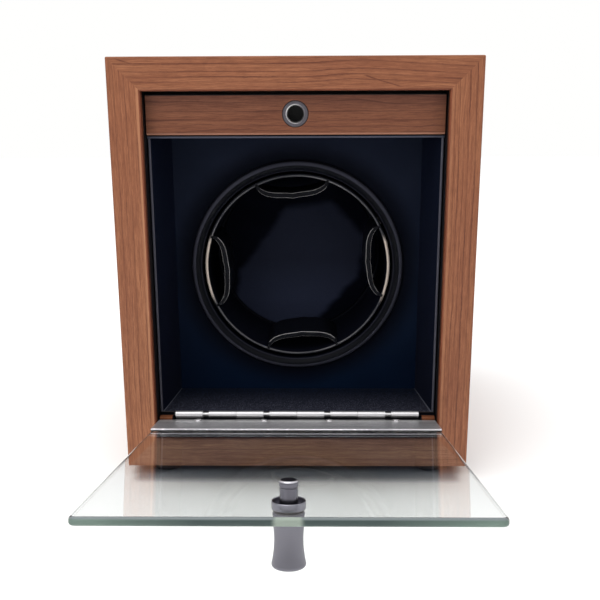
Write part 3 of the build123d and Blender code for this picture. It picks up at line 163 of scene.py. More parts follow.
def walnut(name, grain, across, seed, lines, lo, hi, pitch=3.1, tone=1.0, slope=0.42, wander=0.7, path=None, inner=None, tint=None, fuzz=1.1, streaks=(), face=0.0):
    """Straight-grained walnut. grain and across are 'x', 'y' or 'z': the growth lines run along grain and are counted
    along across. On the front edge they stand at the places in lines (place, half width, strength), between lo and hi;
    path bends them along the grain, (place along the grain, offset). Behind the front edge the rings are cut at a
    slant, so the wide faces show broad figure. face is how far the front edge lies behind the case's.
    inner is the side of the member next to the opening, (place, direction, strength of the painted highlight beside the
    arris, depth where the black starts)."""
    m = Mat(name)
    ax = {"x": m.x, "y": m.y, "z": m.z}
    third = ({"x", "y", "z"} - {grain, across}).pop()
    g, a, t = ax[grain], ax[across], ax[third]
    depth = m.math("SUBTRACT", m.y, FRONT)
    flow = m.vec(m.math("MULTIPLY", g, 0.013), m.math("MULTIPLY", a, 0.055), m.math("MULTIPLY", t, 0.035))
    warp = m.math("SUBTRACT", m.noise(flow, 1.0, 2.0, 0.5, 0.0, seed), 0.5)
    fine = m.math("SUBTRACT", m.noise(m.vec(m.math("MULTIPLY", g, 0.060), m.math("MULTIPLY", a, 0.30), m.math("MULTIPLY", t, 0.20)), 1.0, 2.0, 0.5, 0.0, seed + 3.1), 0.5)

    # front edge: drawn growth lines
    u = m.math("MULTIPLY_ADD", warp, 2.6 * wander, a)
    u = m.math("MULTIPLY_ADD", fine, fuzz, u)
    jag = m.noise(m.vec(m.math("MULTIPLY", g, 0.42), m.math("MULTIPLY", a, 1.5), seed), 1.0, 2.0, 0.6)
    u = m.math("MULTIPLY_ADD", m.math("SUBTRACT", jag, 0.5), 0.60, u)
    if path:
        w = [(p_ - path[0][0]) / (path[-1][0] - path[0][0]) for p_, _ in path]
        bend = m.ramp(m.span(g, path[0][0], path[-1][0]), [(q, (d + 4.0) / 8.0) for q, (_, d) in zip(w, path)], "CARDINAL")
        u = m.math("SUBTRACT", u, m.math("MULTIPLY_ADD", bend, 8.0, -4.0))
    stops = [(0.0, 0.0)]
    for place, half, power in sorted(lines):
        c = (place - lo) / (hi - lo)
        h = half / (hi - lo)
        stops += [(max(c - 1.9 * h, stops[-1][0] + 1e-4), 0.12 * power), (c - 0.25 * h, power), (c + 0.25 * h, power), (c + 0.95 * h, 0.0)]
    front_line = m.ramp(m.span(u, lo, hi), stops[:32])

    # everywhere else: rings counted from the slanted coordinate
    f = m.math("MULTIPLY_ADD", t, slope, a)
    f = m.math("MULTIPLY_ADD", warp, 10.0, f)
    f = m.math("MULTIPLY_ADD", fine, 1.5, f)
    rings = m.math("DIVIDE", f, pitch)
    spread = m.noise(m.vec(m.math("MULTIPLY", rings, 0.37), seed, 0.0), 1.0, 1.0, 0.5)
    rings = m.math("MULTIPLY_ADD", m.math("SUBTRACT", spread, 0.5), 1.6, rings)
    ph = m.math("FRACT", rings)
    idx = m.math("FLOOR", rings)
    line = m.ramp(ph, [(0.0, 0.04), (0.50, 0.08), (0.80, 0.30), (0.895, 1.0), (0.945, 0.80), (1.0, 0.04)])
    own = m.noise(m.vec(m.math("MULTIPLY", g, 0.020), m.math("MULTIPLY", idx, 7.31), seed), 1.0, 3.0, 0.62)
    line = m.math("MULTIPLY", line, m.span(own, 0.33, 0.66, 0.15, 1.0))

    comes = m.noise(m.vec(m.math("MULTIPLY", g, 0.030), m.math("MULTIPLY", a, 0.42), seed), 1.0, 2.0, 0.6)
    front_line = m.math("MULTIPLY", front_line, m.span(comes, 0.34, 0.60, 0.42, 1.0))
    at_front = m.span(depth, face + 0.5, face + 0.9, 1.0, 0.0)
    line = m.math("ADD", m.math("MULTIPLY", line, m.math("SUBTRACT", 1.0, at_front)), m.math("MULTIPLY", front_line, at_front), clamp=True)

    # single dark streaks that cross the lines: (along, across, along, across, half width, strength)
    for g0, a0, g1, a1, half, power in streaks:
        k = (a1 - a0) / (g1 - g0)
        off = m.math("ADD", m.math("MULTIPLY_ADD", g, -k, a), m.math("MULTIPLY_ADD", fine, 1.2, k * g0 - a0))
        core = m.math("MULTIPLY", m.span(m.math("ABSOLUTE", off), 0.3 * half, half, power, 0.0), at_front)
        core = m.math("MULTIPLY", core, m.math("MULTIPLY", m.span(g, g0, g0 + 3.0), m.span(g, g1 - 3.0, g1, 1.0, 0.0)))
        line = m.math("MAXIMUM", line, core)

    # fibres and open pores, long and narrow
    fibre = m.noise(m.vec(m.math("MULTIPLY", g, 0.14), m.math("MULTIPLY", a, 3.4), m.math("MULTIPLY", t, 3.4)), 1.0, 4.0, 0.66, 0.0, seed + 1.7)
    band = m.noise(m.vec(m.math("MULTIPLY", g, 0.020), m.math("MULTIPLY", a, 0.75), m.math("MULTIPLY", t, 0.6)), 1.0, 3.0, 0.6, 0.0, seed + 13.0)
    hair = m.noise(m.vec(m.math("MULTIPLY", g, 0.55), m.math("MULTIPLY", a, 9.0), m.math("MULTIPLY", t, 9.0)), 1.0, 2.0, 0.7, 0.0, seed + 5.0)
    pore = m.noise(m.vec(m.math("MULTIPLY", g, 0.26), m.math("MULTIPLY", a, 5.2), m.math("MULTIPLY", t, 5.2)), 1.0, 1.0, 0.5, 0.0, seed + 8.3)
    pore = m.span(pore, 0.63, 0.74, 0.0, 1.0)
    pore = m.math("MULTIPLY", pore, m.span(line, 0.05, 0.6, 0.45, 1.0))
    cloud = m.noise(m.vec(m.math("MULTIPLY", g, 0.012), m.math("MULTIPLY", a, 0.10), m.math("MULTIPLY", t, 0.06)), 1.0, 3.0, 0.55, 0.0, seed + 11.0)
    k = tone
    base = m.ramp(m.span(cloud, 0.32, 0.68), [(0.0, (0.315 * k, 0.118 * k, 0.057 * k)), (0.5, (0.360 * k, 0.143 * k, 0.068 * k)), (1.0, (0.420 * k, 0.178 * k, 0.085 * k))])
    base = m.mix(m.span(band, 0.30, 0.70, 0.0, 0.85), base, m.mix(1.0, base, (0.72, 0.63, 0.58), "MULTIPLY"))
    base = m.mix(m.span(fibre, 0.34, 0.66), m.mix(1.0, base, (1.10, 1.11, 1.12), "MULTIPLY"), m.mix(1.0, base, (0.62, 0.53, 0.48), "MULTIPLY"))
    base = m.mix(m.span(hair, 0.42, 0.72, 0.0, 0.50), base, m.mix(1.0, base, (0.56, 0.48, 0.44), "MULTIPLY"))
    base = m.mix(m.math("MULTIPLY", line, 0.95), base, (0.112 * k, 0.030 * k, 0.013 * k))
    base = m.mix(m.math("MULTIPLY", pore, 0.62), base, (0.075 * k, 0.022 * k, 0.011 * k))
    if inner:
        # the rounded arris round the opening: a painted highlight beside it, painted shade (a deeper red) on it, and
        # near-black from a given depth back
        place, sign, light, black_from = inner
        e = m.math("MULTIPLY", m.math("SUBTRACT", a, place), sign)
        in_front = m.span(depth, 1.5, 1.9, 1.0, 0.0)
        # painted highlight: a lighter band of wood beside the arris
        if light:
            painted_glow = m.math("MULTIPLY", m.math("MULTIPLY", m.span(e, -2.3, -1.7), m.span(e, -1.1, -0.8, 1.0, 0.0)), in_front)
            base = m.mix(m.math("MULTIPLY", painted_glow, light), base, (0.50, 0.235, 0.120))
        # painted shade: the arris itself is darkened to a deeper red
        base = m.mix(m.math("MULTIPLY", m.math("MULTIPLY", m.span(e, -0.95, -0.75), m.span(e, 0.3, 0.4, 1.0, 0.0)), m.span(depth, 6.5, 7.0, 1.0, 0.0)), base, m.mix(1.0, base, (0.66, 0.50, 0.46), "MULTIPLY"))
        hid = m.math("MULTIPLY", m.span(e, -0.6, -0.4), m.span(depth, black_from, black_from + 0.5))
        base = m.mix(m.math("MULTIPLY", hid, m.span(e, 0.6, 0.9, 1.0, 0.0)), base, (0.0030, 0.0032, 0.0045))
    h = m.math("MULTIPLY_ADD", fibre, 0.45, m.math("MULTIPLY", line, -0.45))
    h = m.math("MULTIPLY_ADD", pore, -0.75, h)
    h = m.math("MULTIPLY_ADD", hair, 0.22, h)
    if tint:
        base = m.mix(1.0, base, tint, "MULTIPLY")
    m.set(color=base, rough=m.span(m.math("MULTIPLY_ADD", pore, 0.5, fibre), 0.2, 1.0, 0.40, 0.62), spec=0.32,
          normal=m.bump(h, 0.5, 0.08))
    m.base = base
    return m


W_TOP = walnut("walnut_top", "x", "z", 2.3,
               [(216.1, 0.28, 0.50), (214.0, 0.34, 1.0), (212.3, 0.26, 0.30), (210.4, 0.30, 0.85), (207.9, 0.34, 1.0), (205.7, 0.30, 0.85), (203.2, 0.26, 0.45)],
               200.0, 218.5, inner=(201.5, -1, 0.0, 3.6), pitch=2.9, tone=0.95, wander=0.35, fuzz=0.8,
               streaks=[(31.5, 209.2, 52.0, 202.8, 0.50, 0.85), (-86.5, 216.6, -78.0, 214.5, 0.45, 0.9)],
               path=[(-95, 0.2), (-60, 0.0), (-30, 0.15), (2, -0.05), (16, 0.75), (28, 1.35), (42, 0.95), (56, 0.25), (72, -0.75), (95, -2.0)])
# The bottom member is tinted paler and bluer than the others: a painted reflection standing for the haze of the glass
# in front of it.
W_BOT = walnut("walnut_bottom", "x", "z", 17.9,
               [(6.4, 0.30, 0.4), (8.9, 0.32, 0.5), (11.8, 0.28, 0.3), (14.3, 0.32, 0.55), (17.4, 0.30, 0.45), (19.6, 0.28, 0.3)],
               4.0, 22.0, tone=0.90, wander=0.9, tint=(1.07, 1.48, 2.02), inner=(21.0, 1, 0.0, 0.7))
W_LEFT = walnut("walnut_left", "z", "x", 31.4,
                [(-89.4, 0.26, 0.50), (-87.6, 0.20, 0.25), (-86.0, 0.28, 0.70), (-83.2, 0.26, 0.60), (-80.9, 0.28, 0.78), (-78.6, 0.22, 0.40), (-76.1, 0.28, 0.75)],
                -91.5, -73.0, inner=(-74.0, 1, 0.45, 3.4), tone=0.98, wander=0.8, path=[(0, -0.6), (60, -0.2), (120, 0.25), (170, -0.1), (218, -0.5)])
W_RIGHT = walnut("walnut_right", "z", "x", 47.2,
                 [(76.4, 0.26, 0.65), (78.6, 0.28, 0.90), (80.8, 0.26, 0.70), (83.3, 0.32, 1.0), (86.6, 0.34, 1.0), (89.1, 0.26, 0.60)],
                 73.0, 91.5, inner=(74.0, -1, 0.15, 3.4), tone=0.965, slope=-0.42, wander=0.8, path=[(0, -0.2), (50, 0.3), (110, 0.2), (165, 0.6), (218, -0.3)])
# The catch rail's tone is darker than the other members': painted shade, as it sits recessed beneath the top member.
W_CATCH = walnut("walnut_catch_rail", "x", "z", 63.5,
                 [(197.6, 0.30, 0.30), (193.8, 0.30, 0.85), (190.5, 0.30, 0.90), (187.0, 0.30, 0.85), (184.6, 0.22, 0.35), (182.5, 0.28, 0.80)],
                 179.0, 201.0, pitch=3.7, tone=0.68, wander=0.25, fuzz=0.35, tint=(1.0, 0.95, 0.96), face=6.3)


def catch_rail_edges(m):
    """The rail's lower arris carries a painted highlight; the rail is painted darker towards its top as shade, and its
    upper arris, which lies in the dark gap, is painted black as shade.
    """
    # painted highlight along the lower arris
    arris_highlight = m.math("MULTIPLY", m.span(m.z, 181.35, 181.6, 1.0, 0.0), m.span(m.z, 180.55, 180.75))
    # painted shade: darker towards the top
    col = m.mix(m.span(m.z, 189.0, 198.0), m.base, m.mix(1.0, m.base, (0.80, 0.76, 0.84), "MULTIPLY"))
    col = m.mix(m.math("MULTIPLY", arris_highlight, 0.85), col, (0.400, 0.190, 0.125))
    # painted shade: the upper arris painted black
    col = m.mix(m.span(m.z, 199.35, 199.65), col, (0.0030, 0.0032, 0.0045))
    m.set(color=col)


catch_rail_edges(W_CATCH)


def sill():
    """The rail that carries the hinge: walnut at its two ends, where they are in sight beside the barrel, and
    near-black everywhere else, where the door covers it.
    """
    m = walnut("walnut_hinge_rail", "x", "z", 71.5, [(22.6, 0.4, 0.7), (25.4, 0.4, 0.8), (28.2, 0.4, 0.7), (31.4, 0.4, 0.9), (33.4, 0.3, 0.5)], 19.0, 35.0, tone=0.80, face=6.3)
    ends = m.math("MULTIPLY", m.span(m.math("ABSOLUTE", m.x), 66.4, 66.7), m.span(m.y, FRONT + 9.1, FRONT + 9.4, 1.0, 0.0))
    ends = m.math("MULTIPLY", ends, m.span(m.z, 29.5, 29.8))
    black = m.noise(m.scaled(m.mm, (0.1, 1.6, 1.6)), 1.0, 3.0, 0.6)
    m.set(color=m.mix(ends, m.mix(black, (0.0024, 0.0030, 0.0060), (0.0045, 0.0052, 0.0090)), m.base), spec=0.12)
    return m


W_SILL = sill()
dress(W_TOP, "case_top")
dress(W_BOT, "case_bottom")
dress(W_LEFT, "case_left")
dress(W_RIGHT, "case_right")
dress(W_CATCH, "catch_rail")
dress(W_SILL, "hinge_rail")


# ------------------------------------------------------------------ other materials
def painted_wood():
    m = Mat("black_painted_wood")
    f = m.noise(m.scaled(m.mm, (0.10, 1.6, 1.6)), 1.0, 4.0, 0.6)
    m.set(color=m.mix(f, (0.010, 0.010, 0.011), (0.024, 0.023, 0.022)), rough=m.span(f, 0.2, 0.8, 0.50, 0.75), normal=m.bump(f, 0.4, 0.08))
    return m


def lining(name, c1, c2, speckle, spec=0.10, kind="panel"):
    """Blue-black flocked lining: fine speckle of fibre ends. The boards' front edges carry a painted highlight: a
    narrow lip all round the front and a fine seam where two boards meet."""
    m = Mat(name)
    speck = m.noise(m.mm, 3.4, 3.0, 0.75)
    grain = m.noise(m.mm, 9.0, 2.0, 0.7)
    cloud = m.noise(m.mm, 0.035, 3.0, 0.5)
    col = m.mix(m.span(cloud, 0.3, 0.7), c1, c2)
    col = m.mix(m.span(speck, 0.52, 0.78, 0.0, 0.75), col, speckle)
    col = m.mix(m.span(grain, 0.35, 0.70, 0.0, 0.5), col, tuple(c * 0.6 for c in c1))
    if kind == "floor":
        pile = m.noise(m.mm, 1.5, 3.0, 0.7)
        col = m.mix(m.span(pile, 0.50, 0.66), col, m.mix(m.span(grain, 0.35, 0.6), tuple(c * 0.45 for c in speckle), speckle))
        # painted shade: the floor lining darkens and turns bluer towards the back
        col = m.mix(m.span(m.y, FRONT + 12.0, FRONT + 42.0), col, m.mix(1.0, col, (0.10, 0.18, 0.34), "MULTIPLY"))
    else:
        # painted shade: darker and bluer towards the bottom
        shade_low = m.span(m.z, 45.0, 150.0, 1.0, 0.0)
        col = m.mix(shade_low, col, m.mix(1.0, col, (0.06, 0.44, 0.74), "MULTIPLY"))
    if kind == "panel":
        # painted shadow: a darker ring round the moulding
        n = m.node("ShaderNodeVectorMath", operation="LENGTH")
        m.link(m.vec(m.x, 0.0, m.math("SUBTRACT", m.z, 106.7)), n.inputs[0])
        col = m.mix(m.span(n.outputs["Value"], 60.0, 73.0, 0.90, 0.0, smooth=True), col, (0.0004, 0.0010, 0.0040))
    ax = m.math("ABSOLUTE", m.x)
    lip = m.span(m.y, FRONT + 11.0, FRONT + 11.2, 1.0, 0.0)
    black = None
    if kind == "side":
        tone, band = (0.088, 0.086, 0.108), m.span(ax, 72.2 + 0.85, 72.2 + 1.1, 1.0, 0.0)
    elif kind == "ceiling":
        tone, band = (0.085, 0.088, 0.120), m.span(m.z, 178.9 + 0.85, 178.9 + 1.05, 1.0, 0.0)
    else:
        tone, band = (0.040, 0.033, 0.035), m.span(m.z, 34.5 - 0.45, 34.5 - 0.25)
    # the front edges are near-black, with a painted highlight along their inner arris
    if kind != "panel":
        col = m.mix(lip, col, (0.0028, 0.0030, 0.0045))
        col = m.mix(m.math("MULTIPLY", m.math("MULTIPLY", lip, band), m.span(grain, 0.2, 0.6, 0.75, 1.0)), col, tone)
    if kind in ("floor", "ceiling"):
        # painted highlight along the seam where floor or ceiling meets a side board
        edge = m.math("MULTIPLY_ADD", m.y, 0.1119, m.math("SUBTRACT", ax, 71.54))
        seam = m.math("MULTIPLY", m.span(edge, -0.95, -0.65), m.math("SUBTRACT", 1.0, lip))
        col = m.mix(m.math("MULTIPLY", seam, m.span(speck, 0.3, 0.6, 0.5, 1.0)), col, (0.100, 0.104, 0.130))
    h = m.math("MULTIPLY_ADD", grain, 0.6, speck)
    m.set(color=col, rough=m.span(speck, 0.3, 0.7, 0.66, 0.90), spec=spec, sheen=0.02, sheen_rough=0.35, normal=m.bump(h, 0.55, 0.12))
    return m


def gloss_black(name, rough=0.16, amount=0.35, c1=(0.0050, 0.0053, 0.0066), c2=(0.0085, 0.0088, 0.0105), spec=0.5):
    m = Mat(name)
    wave = m.noise(m.mm, 0.16, 2.0, 0.5)
    scuff = m.noise(m.scaled(m.mm, (1.0, 0.2, 1.0)), 2.2, 3.0, 0.6)
    m.set(color=m.mix(scuff, c1, c2), rough=m.span(scuff, 0.25, 0.8, rough, rough + 0.09), spec=spec, normal=m.bump(wave, 0.06, amount))
    return m


def leaf_black():
    """Black spring strip. The two arrises of its front edge carry a painted highlight; the flat between them and the
    flanks stay matt black."""
    m = Mat("leaf_black")
    scuff = m.noise(m.scaled(m.mm, (1.0, 0.2, 1.0)), 2.2, 3.0, 0.6)
    tc = m.node("ShaderNodeTexCoord")
    sp = m.node("ShaderNodeSeparateXYZ")
    m.link(tc.outputs["Normal"], sp.inputs[0])
    ny = m.math("MULTIPLY", sp.outputs[1], -1.0)
    # painted highlight on the two front arrises, picked out by the normal
    edge = m.math("MULTIPLY", m.span(ny, 0.05, 0.20), m.span(ny, 0.62, 0.84, 1.0, 0.0))
    edge = m.math("MULTIPLY", edge, m.span(m.y, FRONT + 47.7, FRONT + 47.9, 1.0, 0.0))
    edge = m.math("MULTIPLY", edge, m.span(scuff, 0.30, 0.62, 0.45, 1.0))
    m.set(color=m.mix(edge, m.mix(scuff, (0.0024, 0.0028, 0.0048), (0.0046, 0.0050, 0.0075)), (0.93, 0.90, 0.90)),
          rough=m.span(scuff, 0.25, 0.8, 0.30, 0.46), spec=0.07)
    return m


def bezel_black():
    """Satin moulding. The roll round its outer edge, and a fine line inside it, carry a painted highlight in a lighter
    colour.
    """
    m = Mat("moulding_black")
    wave = m.noise(m.mm, 0.16, 2.0, 0.5)
    scuff = m.noise(m.mm, 1.4, 3.0, 0.6)
    n = m.node("ShaderNodeVectorMath", operation="LENGTH")
    m.link(m.vec(m.x, 0.0, m.math("SUBTRACT", m.z, 106.7)), n.inputs[0])
    r = n.outputs["Value"]
    # painted highlight: a lighter band on the outer roll and a fine lighter line nearer the opening
    roll = m.math("MULTIPLY", m.span(r, 55.9, 56.7, smooth=True), m.span(r, 57.7, 58.5, 1.0, 0.1))
    line = m.math("MULTIPLY", m.span(r, 53.0, 53.2), m.span(r, 53.45, 53.7, 1.0, 0.0))
    roll = m.math("ADD", roll, m.math("MULTIPLY", line, 0.35), clamp=True)
    m.set(color=m.mix(roll, m.mix(scuff, (0.0005, 0.0009, 0.0026), (0.0010, 0.0015, 0.0040)), m.mix(scuff, (0.046, 0.047, 0.064), (0.060, 0.061, 0.084))),
          rough=m.span(m.math("MULTIPLY_ADD", roll, 0.6, scuff), 0.3, 1.5, 0.42, 0.56), spec=0.09, normal=m.bump(wave, 0.05, 0.3))
    return m


def cup_black():
    """Moulded cup: matt black inside, with a painted highlight in a thin line round the rim, broader and warmer at both
    sides.
    """
    m = Mat("cup_black")
    scuff = m.noise(m.mm, 1.8, 3.0, 0.6)
    z = m.math("SUBTRACT", m.z, 106.7)
    n = m.node("ShaderNodeVectorMath", operation="LENGTH")
    m.link(m.vec(m.x, 0.0, z), n.inputs[0])
    r = n.outputs["Value"]
    # painted highlight: a thin bright line round the rim
    rim = m.math("MULTIPLY", m.span(m.y, FRONT + RIM_D + 0.35, FRONT + RIM_D + 0.75, 1.0, 0.0), m.span(r, 49.9, 50.1))
    rim = m.math("MULTIPLY", rim, m.span(r, 50.55, 50.85, 1.0, 0.10))
    highlight_mottle = m.noise(m.vec(m.math("MULTIPLY", m.x, 0.055), 0.0, m.math("MULTIPLY", z, 0.055)), 1.0, 2.0, 0.5)
    # the painted highlight turns broader and warmer at both sides
    side = m.math("MULTIPLY", m.span(m.math("ABSOLUTE", m.x), 46.0, 48.5), m.span(z, 14.0, 19.0, 1.0, 0.0))
    tone = m.mix(m.span(highlight_mottle, 0.35, 0.65), (0.060, 0.060, 0.068), (0.130, 0.128, 0.135))
    tone = m.mix(side, tone, (0.62, 0.53, 0.46))
    wide = m.math("MULTIPLY", side, m.math("MULTIPLY", m.span(m.y, FRONT + RIM_D + 0.9, FRONT + RIM_D + 1.2, 1.0, 0.0), m.span(r, 49.85, 50.0)))
    rim = m.math("MAXIMUM", rim, wide)
    m.set(color=m.mix(rim, m.mix(scuff, (0.0016, 0.0022, 0.0058), (0.0030, 0.0038, 0.0088)), tone), metal=m.math("MULTIPLY", rim, 0.35),
          rough=m.span(m.math("MULTIPLY_ADD", rim, -0.5, scuff), -0.3, 0.8, 0.30, 0.72), spec=0.10)
    return m


def suede():
    """Napped pad, near-black. A pool of light on its middle is painted in a lighter colour, with a soft, roughly
    eight-sided outline, brightest towards its lower end."""
    m = Mat("pad_suede")
    nap = m.noise(m.mm, 2.6, 4.0, 0.7)
    mottle = m.noise(m.scaled(m.mm, (0.05, 0.05, 0.12)), 1.0, 2.0, 0.5)
    z = m.math("SUBTRACT", m.z, 106.7)
    # outline of the painted pool of light
    pts = [(-7.0, 26.2), (19.7, 31.0), (40.6, 8.3), (36.0, -15.4), (6.9, -48.2), (-17.0, -53.4), (-38.6, -31.3), (-35.7, -11.6)]
    dist = None
    for (x0, z0), (x1, z1) in zip(pts, pts[1:] + pts[:1]):
        dx, dz = x1 - x0, z1 - z0
        ln = math.hypot(dx, dz)
        nx, nz = -dz / ln, dx / ln                                  # outward normal of a clockwise outline
        d = m.math("MULTIPLY_ADD", m.x, nx, m.math("MULTIPLY_ADD", z, nz, -(nx * x0 + nz * z0)))
        dist = d if dist is None else m.math("MAXIMUM", dist, d)
    dist = m.math("MULTIPLY_ADD", m.math("SUBTRACT", mottle, 0.5), 5.0, dist)
    light_pool = m.span(dist, -2.6, 2.6, 1.0, 0.0, smooth=True)
    dark = m.mix(m.span(mottle, 0.35, 0.65), (0.0006, 0.0012, 0.0044), (0.0014, 0.0020, 0.0060))
    light = m.mix(m.span(nap, 0.30, 0.70), (0.0118, 0.0142, 0.0262), (0.0172, 0.0200, 0.0352))
    # painted light: brighter towards the lower end
    light = m.mix(m.span(z, -30.0, -5.0, 0.75, 0.0), light, m.mix(1.0, light, (2.0, 2.1, 2.2), "MULTIPLY"))
    m.set(color=m.mix(light_pool, dark, light), rough=m.span(nap, 0.2, 0.8, 0.78, 0.95), spec=0.06, sheen=0.01, sheen_rough=0.4, normal=m.bump(nap, 0.7, 0.15))
    return m


def brushed(name, dark, light, rough=0.28, along="x", metal=1.0, strength=0.25):
    """Metal brushed along one direction."""
    m = Mat(name)
    s = {"x": (0.035, 9.0, 9.0), "y": (9.0, 0.035, 9.0), "z": (9.0, 9.0, 0.035), "none": (3.0, 3.0, 3.0)}[along]
    lines = m.noise(m.scaled(m.mm, s), 1.0, 3.0, 0.65)
    smear = m.noise(m.mm, 0.09, 3.0, 0.5)
    m.set(color=m.mix(lines, dark, light), metal=metal, rough=m.span(m.math("MULTIPLY_ADD", smear, 0.5, lines), 0.35, 1.1, rough, rough + 0.16),
          normal=m.bump(lines, strength, 0.02))
    return m


def door_frame(m):
    """Distance from the hinge axis along the open door, and height over it."""
    y, z = m.math("SUBTRACT", m.y, AXIS_Y), m.math("SUBTRACT", m.z, AXIS_Z)
    s = m.math("MULTIPLY_ADD", y, -math.cos(ALPHA), m.math("MULTIPLY", z, math.sin(ALPHA)))
    n = m.math("MULTIPLY_ADD", y, math.sin(ALPHA), m.math("MULTIPLY", z, math.cos(ALPHA)))
    return s, n


def strip_metal():
    """Brushed plate along the glass: lines along it, crossed by handling scratches."""
    m = Mat("brushed_aluminium")
    s, n = door_frame(m)
    lines = m.noise(m.vec(m.math("MULTIPLY", m.x, 0.030), m.math("MULTIPLY", s, 6.5), m.math("MULTIPLY", n, 6.5)), 1.0, 3.0, 0.68)
    broad = m.noise(m.vec(m.math("MULTIPLY", m.x, 0.022), m.math("MULTIPLY", s, 2.1), 0.0), 1.0, 2.0, 0.5)
    rake = m.noise(m.vec(m.math("MULTIPLY_ADD", m.x, 0.30, m.math("MULTIPLY", s, 0.10)), m.math("MULTIPLY_ADD", s, 2.2, m.math("MULTIPLY", m.x, -0.4)), 3.0), 1.0, 2.0, 0.6)
    col = m.mix(m.span(lines, 0.30, 0.70), (0.205, 0.199, 0.216), (0.980, 0.965, 0.985))
    col = m.mix(m.span(broad, 0.36, 0.64, 0.0, 0.66), col, (0.280, 0.272, 0.296))
    col = m.mix(m.span(rake, 0.56, 0.66, 0.0, 0.62), col, (0.92, 0.90, 0.92))
    # painted reflection of the hinge barrel: a lighter band near the far edge
    far = m.math("MULTIPLY", m.span(s, 9.6, 8.9), m.span(s, 3.0, 3.3))
    col = m.mix(m.math("MULTIPLY", far, m.span(broad, 0.3, 0.6, 0.3, 0.75)), col, (0.86, 0.84, 0.86))
    # painted shade: the lower part of the front edge is near-black and not metallic
    painted_shade_under = m.math("MULTIPLY", m.span(n, -3.30, -3.15, 1.0, 0.0), m.span(s, 25.8, 26.1))
    col = m.mix(painted_shade_under, col, (0.020, 0.020, 0.023))
    m.set(color=col, metal=m.span(painted_shade_under, 0.0, 1.0, 0.72, 0.0), rough=m.span(m.math("MULTIPLY_ADD", broad, 0.5, lines), 0.35, 1.1, 0.26, 0.44), normal=m.bump(lines, 0.6, 0.03))
    return m


def hinge_metal():
    """Nickelled hinge. The leaf's face just beneath the barrel is painted near-black as shade."""
    m = Mat("satin_nickel")
    s, n = door_frame(m)
    lines = m.noise(m.scaled(m.mm, (0.035, 9.0, 9.0)), 1.0, 3.0, 0.65)
    smear = m.noise(m.mm, 0.09, 3.0, 0.5)
    col = m.mix(lines, (0.62, 0.61, 0.62), (0.78, 0.77, 0.77))
    # painted shade: near-black beneath the barrel
    barrel_shade = m.math("MULTIPLY", m.span(n, -1.85, -1.66, 1.0, 0.0), m.span(s, 1.7, 2.2, 1.0, 0.0))
    col = m.mix(barrel_shade, col, (0.010, 0.010, 0.012))
    m.set(color=col, metal=m.span(barrel_shade, 0.0, 1.0, 0.78, 0.2), rough=m.span(m.math("MULTIPLY_ADD", smear, 0.5, lines), 0.35, 1.1, 0.26, 0.42), normal=m.bump(lines, 0.15, 0.02))
    return m


def turned(name, dark, light, axis, rough=0.3):
    """Metal turned on a lathe and blasted: faint rings round the axis and a fine satin grain."""
    m = Mat(name)
    c, d = axis
    grit = m.noise(m.mm, 14.0, 2.0, 0.6)
    n = m.node("ShaderNodeVectorMath", operation="DOT_PRODUCT")
    m.link(m.mm, n.inputs[0])
    n.inputs[1].default_value = d
    rings = m.noise(m.vec(m.math("MULTIPLY", n.outputs["Value"], 7.0), 0.0, 0.0), 1.0, 3.0, 0.6)
    h = m.math("MULTIPLY_ADD", rings, 0.8, m.math("MULTIPLY", grit, 0.5))
    m.set(color=m.mix(rings, dark, light), metal=1.0, rough=m.span(grit, 0.3, 0.7, rough, rough + 0.1), normal=m.bump(h, 0.10, 0.02))
    return m


def pin_metal():
    """The catch pin: dark satin metal, with a painted highlight on the rounding of its head."""
    m = Mat("gunmetal_pin")
    s, n = door_frame(m)
    grit = m.noise(m.mm, 14.0, 2.0, 0.6)
    rings = m.noise(m.vec(m.math("MULTIPLY", n, 7.0), 0.0, 0.0), 1.0, 3.0, 0.6)
    tc = m.node("ShaderNodeTexCoord")
    d = m.node("ShaderNodeVectorMath", operation="DOT_PRODUCT")
    m.link(tc.outputs["Normal"], d.inputs[0])
    d.inputs[1].default_value = (0.0, math.sin(ALPHA), math.cos(ALPHA))
    # painted highlight on the rounding of the head, picked out by the normal
    arris = m.math("MULTIPLY", m.span(d.outputs["Value"], 0.30, 0.55), m.span(d.outputs["Value"], 0.80, 0.95, 1.0, 0.0))
    col = m.mix(rings, (0.128, 0.124, 0.146), (0.165, 0.160, 0.186))
    col = m.mix(arris, col, (0.52, 0.51, 0.54))
    m.set(color=col, metal=1.0, rough=m.span(grit, 0.3, 0.7, 0.26, 0.34), normal=m.bump(m.math("MULTIPLY_ADD", rings, 0.8, grit), 0.10, 0.02))
    return m


def ring_metal():
    """Satin ring let into the catch rail, with a painted highlight on its inner lip, strongest on the left."""
    m = Mat("ring_satin")
    lo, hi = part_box("catch_ring")
    cx, cz = (lo[0] + hi[0]) * 500.0, (lo[2] + hi[2]) * 500.0
    grit = m.noise(m.mm, 14.0, 2.0, 0.6)
    ln = m.node("ShaderNodeVectorMath", operation="LENGTH")
    m.link(m.vec(m.math("SUBTRACT", m.x, cx), 0.0, m.math("SUBTRACT", m.z, cz)), ln.inputs[0])
    r = ln.outputs["Value"]
    rings = m.noise(m.vec(m.math("MULTIPLY", r, 6.0), 0.0, 0.0), 1.0, 3.0, 0.6)
    lip = m.math("MULTIPLY", m.span(r, 4.75, 4.60), m.span(r, 4.0, 4.15))
    # painted highlight on the inner lip, fading from left to right
    left = m.span(m.math("SUBTRACT", m.x, cx), -3.0, 3.4, 1.0, 0.12)
    col = m.mix(rings, (0.096, 0.088, 0.102), (0.130, 0.120, 0.136))
    col = m.mix(m.math("MULTIPLY", lip, left), col, (0.92, 0.90, 0.90))
    m.set(color=col, metal=0.8, rough=m.span(grit, 0.3, 0.7, 0.34, 0.46), normal=m.bump(m.math("MULTIPLY_ADD", rings, 0.6, grit), 0.2, 0.02))
    return m


